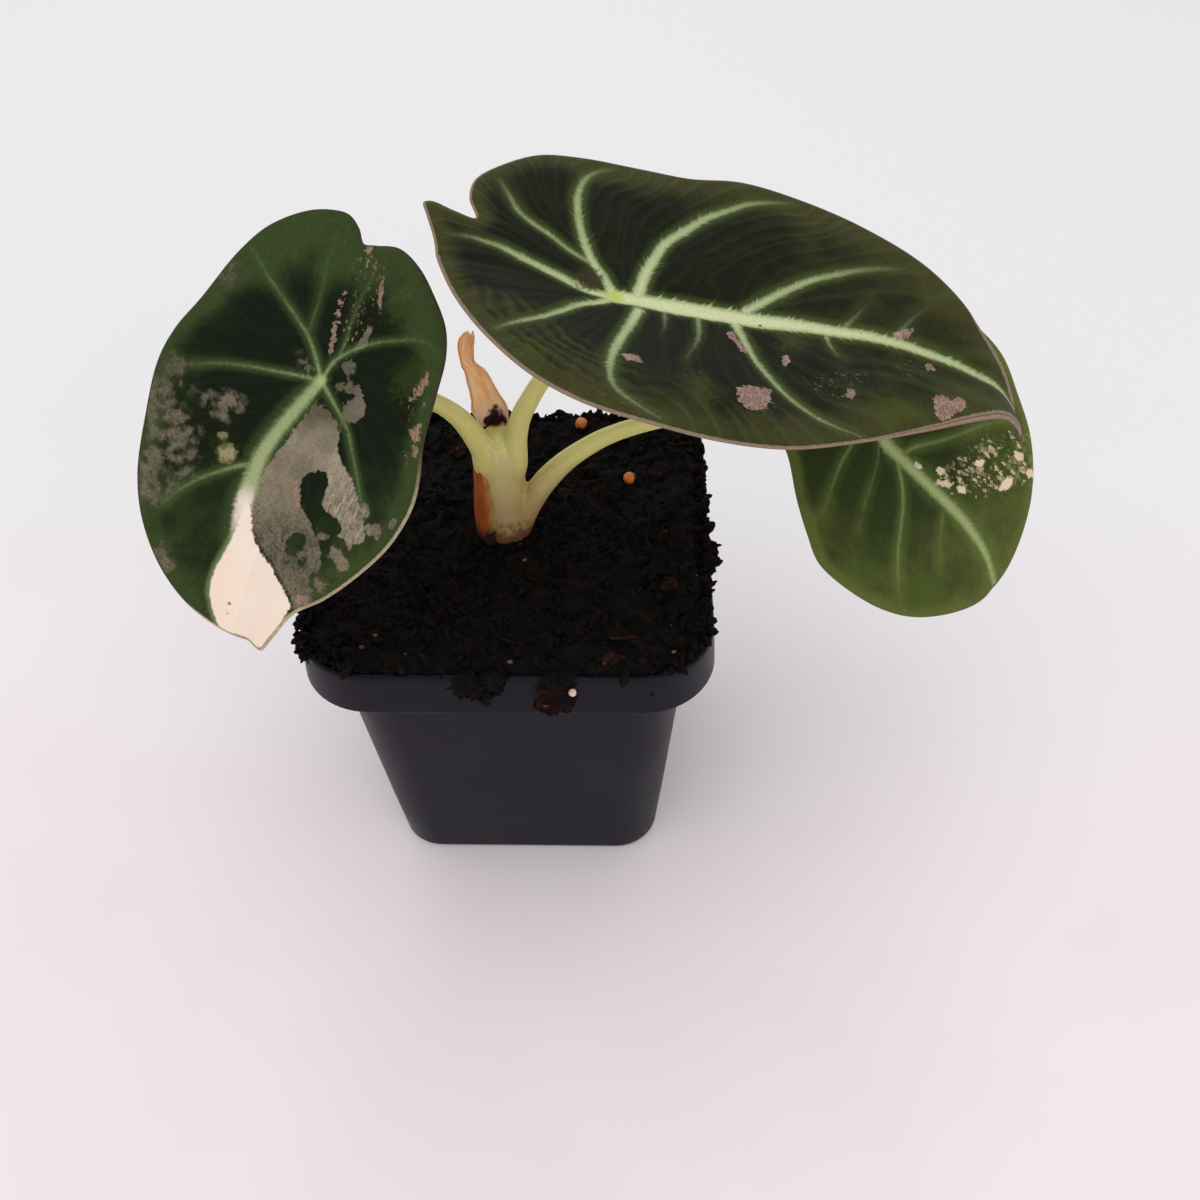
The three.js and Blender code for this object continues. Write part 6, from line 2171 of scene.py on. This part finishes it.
@dataclass(frozen=True)
class Chip:
    """A flat chip of bark: middle, half sizes, and turns about X and Z in degrees."""

    solid: str
    at: Point
    half: Point
    tilt: float
    turn: float
    seed: int

    def build(self, bark: bpy.types.Material) -> bpy.types.Object:
        """Makes, dresses and places the chip."""
        points, faces = lump((0, 0, 0), self.half, self.seed, rings=30, rough=0.34)
        flakes = Ripple(self.seed, 0.9, 4)(points * (0.5, 1.6, 1.6))[:, None]
        points += 0.16 * self.half[2] * np.sign(points) * flakes
        tilt = Matrix.Rotation(math.radians(self.tilt), 3, "X")
        turn = Matrix.Rotation(math.radians(self.turn), 3, "Z")
        points = points @ np.array(turn @ tilt).T + np.array(self.at)
        return place_piece(mesh_object(f"{self.solid}_rough", points, faces), "bark", self.solid, skin=bark)


@dataclass(frozen=True)
class Litter:
    """Bark chips, fertiliser pellets and the white bead on the soil."""

    soil: Soil
    chips: tuple[tuple[float, float, Point, float, float], ...] = (
        (-12.7, 21.5, (1.7, 1.1, 0.6), 12, 30),
        (8.4, 9, (1.5, 1, 0.6), -10, 100),
        (17.8, -31.4, (1.7, 1, 0.6), 8, 15),
        (27.5, -14.7, (1.5, 1.2, 0.6), -14, 60),
        (25.4, 15.2, (1.3, 1.1, 0.6), 10, 140),
    )
    pellets: tuple[Spot, ...] = ((10.9, 30.2), (20.6, 13.8))
    pellet_radius: float = 1.2
    bead: Point = (11.7, -37.2, 63.4)
    bead_radius: float = 0.62
    bits: tuple[Spot, ...] = spots(2.3, -8.8, -21.3, -26.8, -23.1, -29.7, 1.5, -32.6, 28, -29.8, -16.5, 6.4)
    twig: tuple[Spot, ...] = ((17.4, -27.3), (19.5, -27.5), (22, -27.2))

    def spot_on(self, x: float, y: float, above: float) -> Point:
        """A point at a height above the soil."""
        return (x, y, float(self.soil.height(np.array([x]), np.array([y]))[0]) + above)

    def build(self) -> None:
        """Makes, dresses and places the litter."""
        bark = EarthFinish(tone(30, 17, 14), tone(62, 34, 25), tone(134, 84, 50), 1100.0, 0.3).paint("bark")
        for number, (x, y, half, tilt, turn) in enumerate(self.chips, 1):
            at = self.spot_on(x, y, half[2])
            Chip(f"bark_chip_{number}", at, half, tilt, turn, 70 + number).build(bark)
        browner = EarthFinish(tone(20, 10, 9), tone(58, 30, 20), tone(152, 96, 60), 1100.0, 0.35)
        Chip("bark_chip_rim", (8.8, -36.9, 61.2), (3.2, 3, 0.9), 74, 0, 83).build(browner.paint("rim_bark"))
        shell = SpeckFinish(tone(214, 122, 30), tone(150, 76, 20), 0.38, 0.4).paint("pellet_shell")
        for number, (x, y) in enumerate(self.pellets, 1):
            centre = self.spot_on(x, y, 0.55 * self.pellet_radius)
            ball = lump(centre, (self.pellet_radius,) * 3, 90 + number, 24, 0.035)
            pellet = mesh_object(f"pellet_{number}", *ball)
            place_piece(pellet, "pellet_shell", f"fertiliser_pellet_{number}", skin=shell)
        white = SpeckFinish(tone(226, 200, 184), tone(180, 146, 128), 0.7, 0.2).paint("perlite")
        bead = mesh_object("white_bead", *lump(self.bead, (self.bead_radius,) * 3, 99, 20, 0.06))
        place_piece(bead, "perlite", "perlite_bead", skin=white)
        small = [
            mesh_object("bit", *lump(self.spot_on(x, y, 0.7), (0.42, 0.3, 0.26), 40 + number, 8, 0.34))
            for number, (x, y) in enumerate(self.bits)
        ]
        line = np.array([self.spot_on(x, y, 1.1) for x, y in self.twig])
        tan = SpeckFinish(tone(112, 70, 56), tone(64, 36, 28)).paint("bark_bits")
        twig = stem_path("twig", even(line, 20), (0.2, 0.3, 0.15))
        place_piece(stem_recipe(bark).apply(twig, Sides=8), "bark")
        place_piece(join_parts("bark_bits", small), "bark", skin=tan)


# ------------------------------------------------------------------------------------------
# Buried solids, stage, lights and camera
# ------------------------------------------------------------------------------------------


@dataclass(frozen=True)
class RootFinish:
    """The fibrous, tan skin of the buried rhizome and its roots."""

    body: Colour = tone(150, 118, 82)
    dark: Colour = tone(92, 64, 42)

    def paint(self, name: str) -> bpy.types.Material:
        """Writes the skin's material."""
        p = Paint(name)
        place = p.place()
        rings = p.grain(p.scaled(place, 200.0, 200.0, 1400.0), 1.0, 3.0)
        fine = p.grain(place, 1200.0, 4.0, 0.65)
        colour = p.mix(p.span(rings, 0.4, 0.7), self.body, self.dark)
        colour = p.darker(colour, p.sum(p.times(fine, 0.6), 0.7))
        return p.finish(Base_Color=colour, Roughness=0.8, Normal=p.relief((fine, 0.15)))


@dataclass(frozen=True)
class Studio:
    """A pale floor, soft lights and the camera."""

    eye: Point = (21.3, -154.4, 205.3)
    pitch: float = 45.8  # degrees below level
    yaw: float = -2.36
    roll: float = 1.51
    focal: float = 34.5
    sensor: float = 36.0
    floor_half: float = 1.4  # metres
    lights: tuple[tuple[str, Point, Point, float, float], ...] = (  # at, towards, size and power, in metres
        ("key", (-0.25, -0.15, 0.9), (0.0, 0.0, 0.06), 0.8, 1.15),
        ("front", (0.5, -0.85, 0.42), (0.03, 0.0, 0.05), 0.9, 2.1),
        ("back", (-0.2, 0.9, 0.7), (0.0, 0.0, 0.08), 0.8, 0.8),
    )

    def camera(self) -> None:
        """Places the camera."""
        down, yaw, roll = (math.radians(v) for v in (self.pitch, self.yaw, self.roll))
        ahead = Vector((math.sin(yaw) * math.cos(down), math.cos(yaw) * math.cos(down), -math.sin(down)))
        level = Vector((math.cos(yaw), -math.sin(yaw), 0))
        under = ahead.cross(level)
        right = math.cos(roll) * level + math.sin(roll) * under
        below = -math.sin(roll) * level + math.cos(roll) * under
        lens = bpy.data.cameras.new("camera")
        lens.lens = self.focal
        lens.sensor_width = self.sensor
        lens.clip_start = 0.01
        made = linked("camera", lens)
        turned = Matrix((right, -below, -ahead)).transposed().to_4x4()
        made.matrix_world = Matrix.Translation(Vector(self.eye) * MM) @ turned
        bpy.context.scene.camera = made

    def light(self, name: str, at: Point, towards: Point, size: float, power: float) -> None:
        """Adds one soft square light."""
        lamp = bpy.data.lights.new(name, "AREA")
        lamp.energy = power
        lamp.size = size
        made = linked(name, lamp)
        made.location = at
        made.rotation_euler = (Vector(towards) - Vector(at)).to_track_quat("-Z", "Y").to_euler()

    def floor(self) -> None:
        """Adds the plain pale floor."""
        p = Paint("pale_floor")
        haze = p.grain(p.place(), 14.0, 3.0)
        across = p.parts(p.place())[1]
        front = p.mix(p.span(haze, 0.3, 0.7), tone(238, 226, 232), tone(241, 231, 236))
        colour = p.mix(p.span(across, -0.08, 0.14), front, tone(232, 232, 232))
        half = self.floor_half / MM
        rim = [(-half, -half, 0), (half, -half, 0), (half, half, 0), (-half, half, 0)]
        made = mesh_object("pale_floor", np.array(rim), [(0, 1, 2, 3)])
        made.data.materials.append(p.finish(Base_Color=colour, Roughness=0.7, Specular_IOR_Level=0.2))

    def sky(self) -> None:
        """Adds the even light from all around and sets how colours are shown."""
        world = bpy.data.worlds.new("studio")
        world.use_nodes = True
        haze = {"Color": (0.93, 0.92, 0.93, 1.0), "Strength": 0.94}
        feed(world.node_tree, world.node_tree.nodes["Background"], haze)
        scene = bpy.context.scene
        scene.world = world
        scene.view_settings.view_transform = "Standard"
        scene.view_settings.look = "None"

    def build(self) -> None:
        """Sets up the stage."""
        self.camera()
        self.floor()
        for light in self.lights:
            self.light(*light)
        self.sky()


def main() -> None:
    """Builds and dresses every piece in order."""
    Studio().build()
    NurseryPot().build()
    soil = Soil()
    soil.build()
    Litter(soil).build()
    roots = frame["nodes"]["rhizome_and_roots"]
    roots.data.materials.clear()
    roots.data.materials.append(RootFinish().paint("rhizome_skin"))
    Crown().build()
    brown_sheath().build()
    dried_sheath().build()
    for blade in (leaf_left(), leaf_back(), leaf_right()):
        blade.build()
    TipHook().build()


if __name__ == "__main__":
    main()
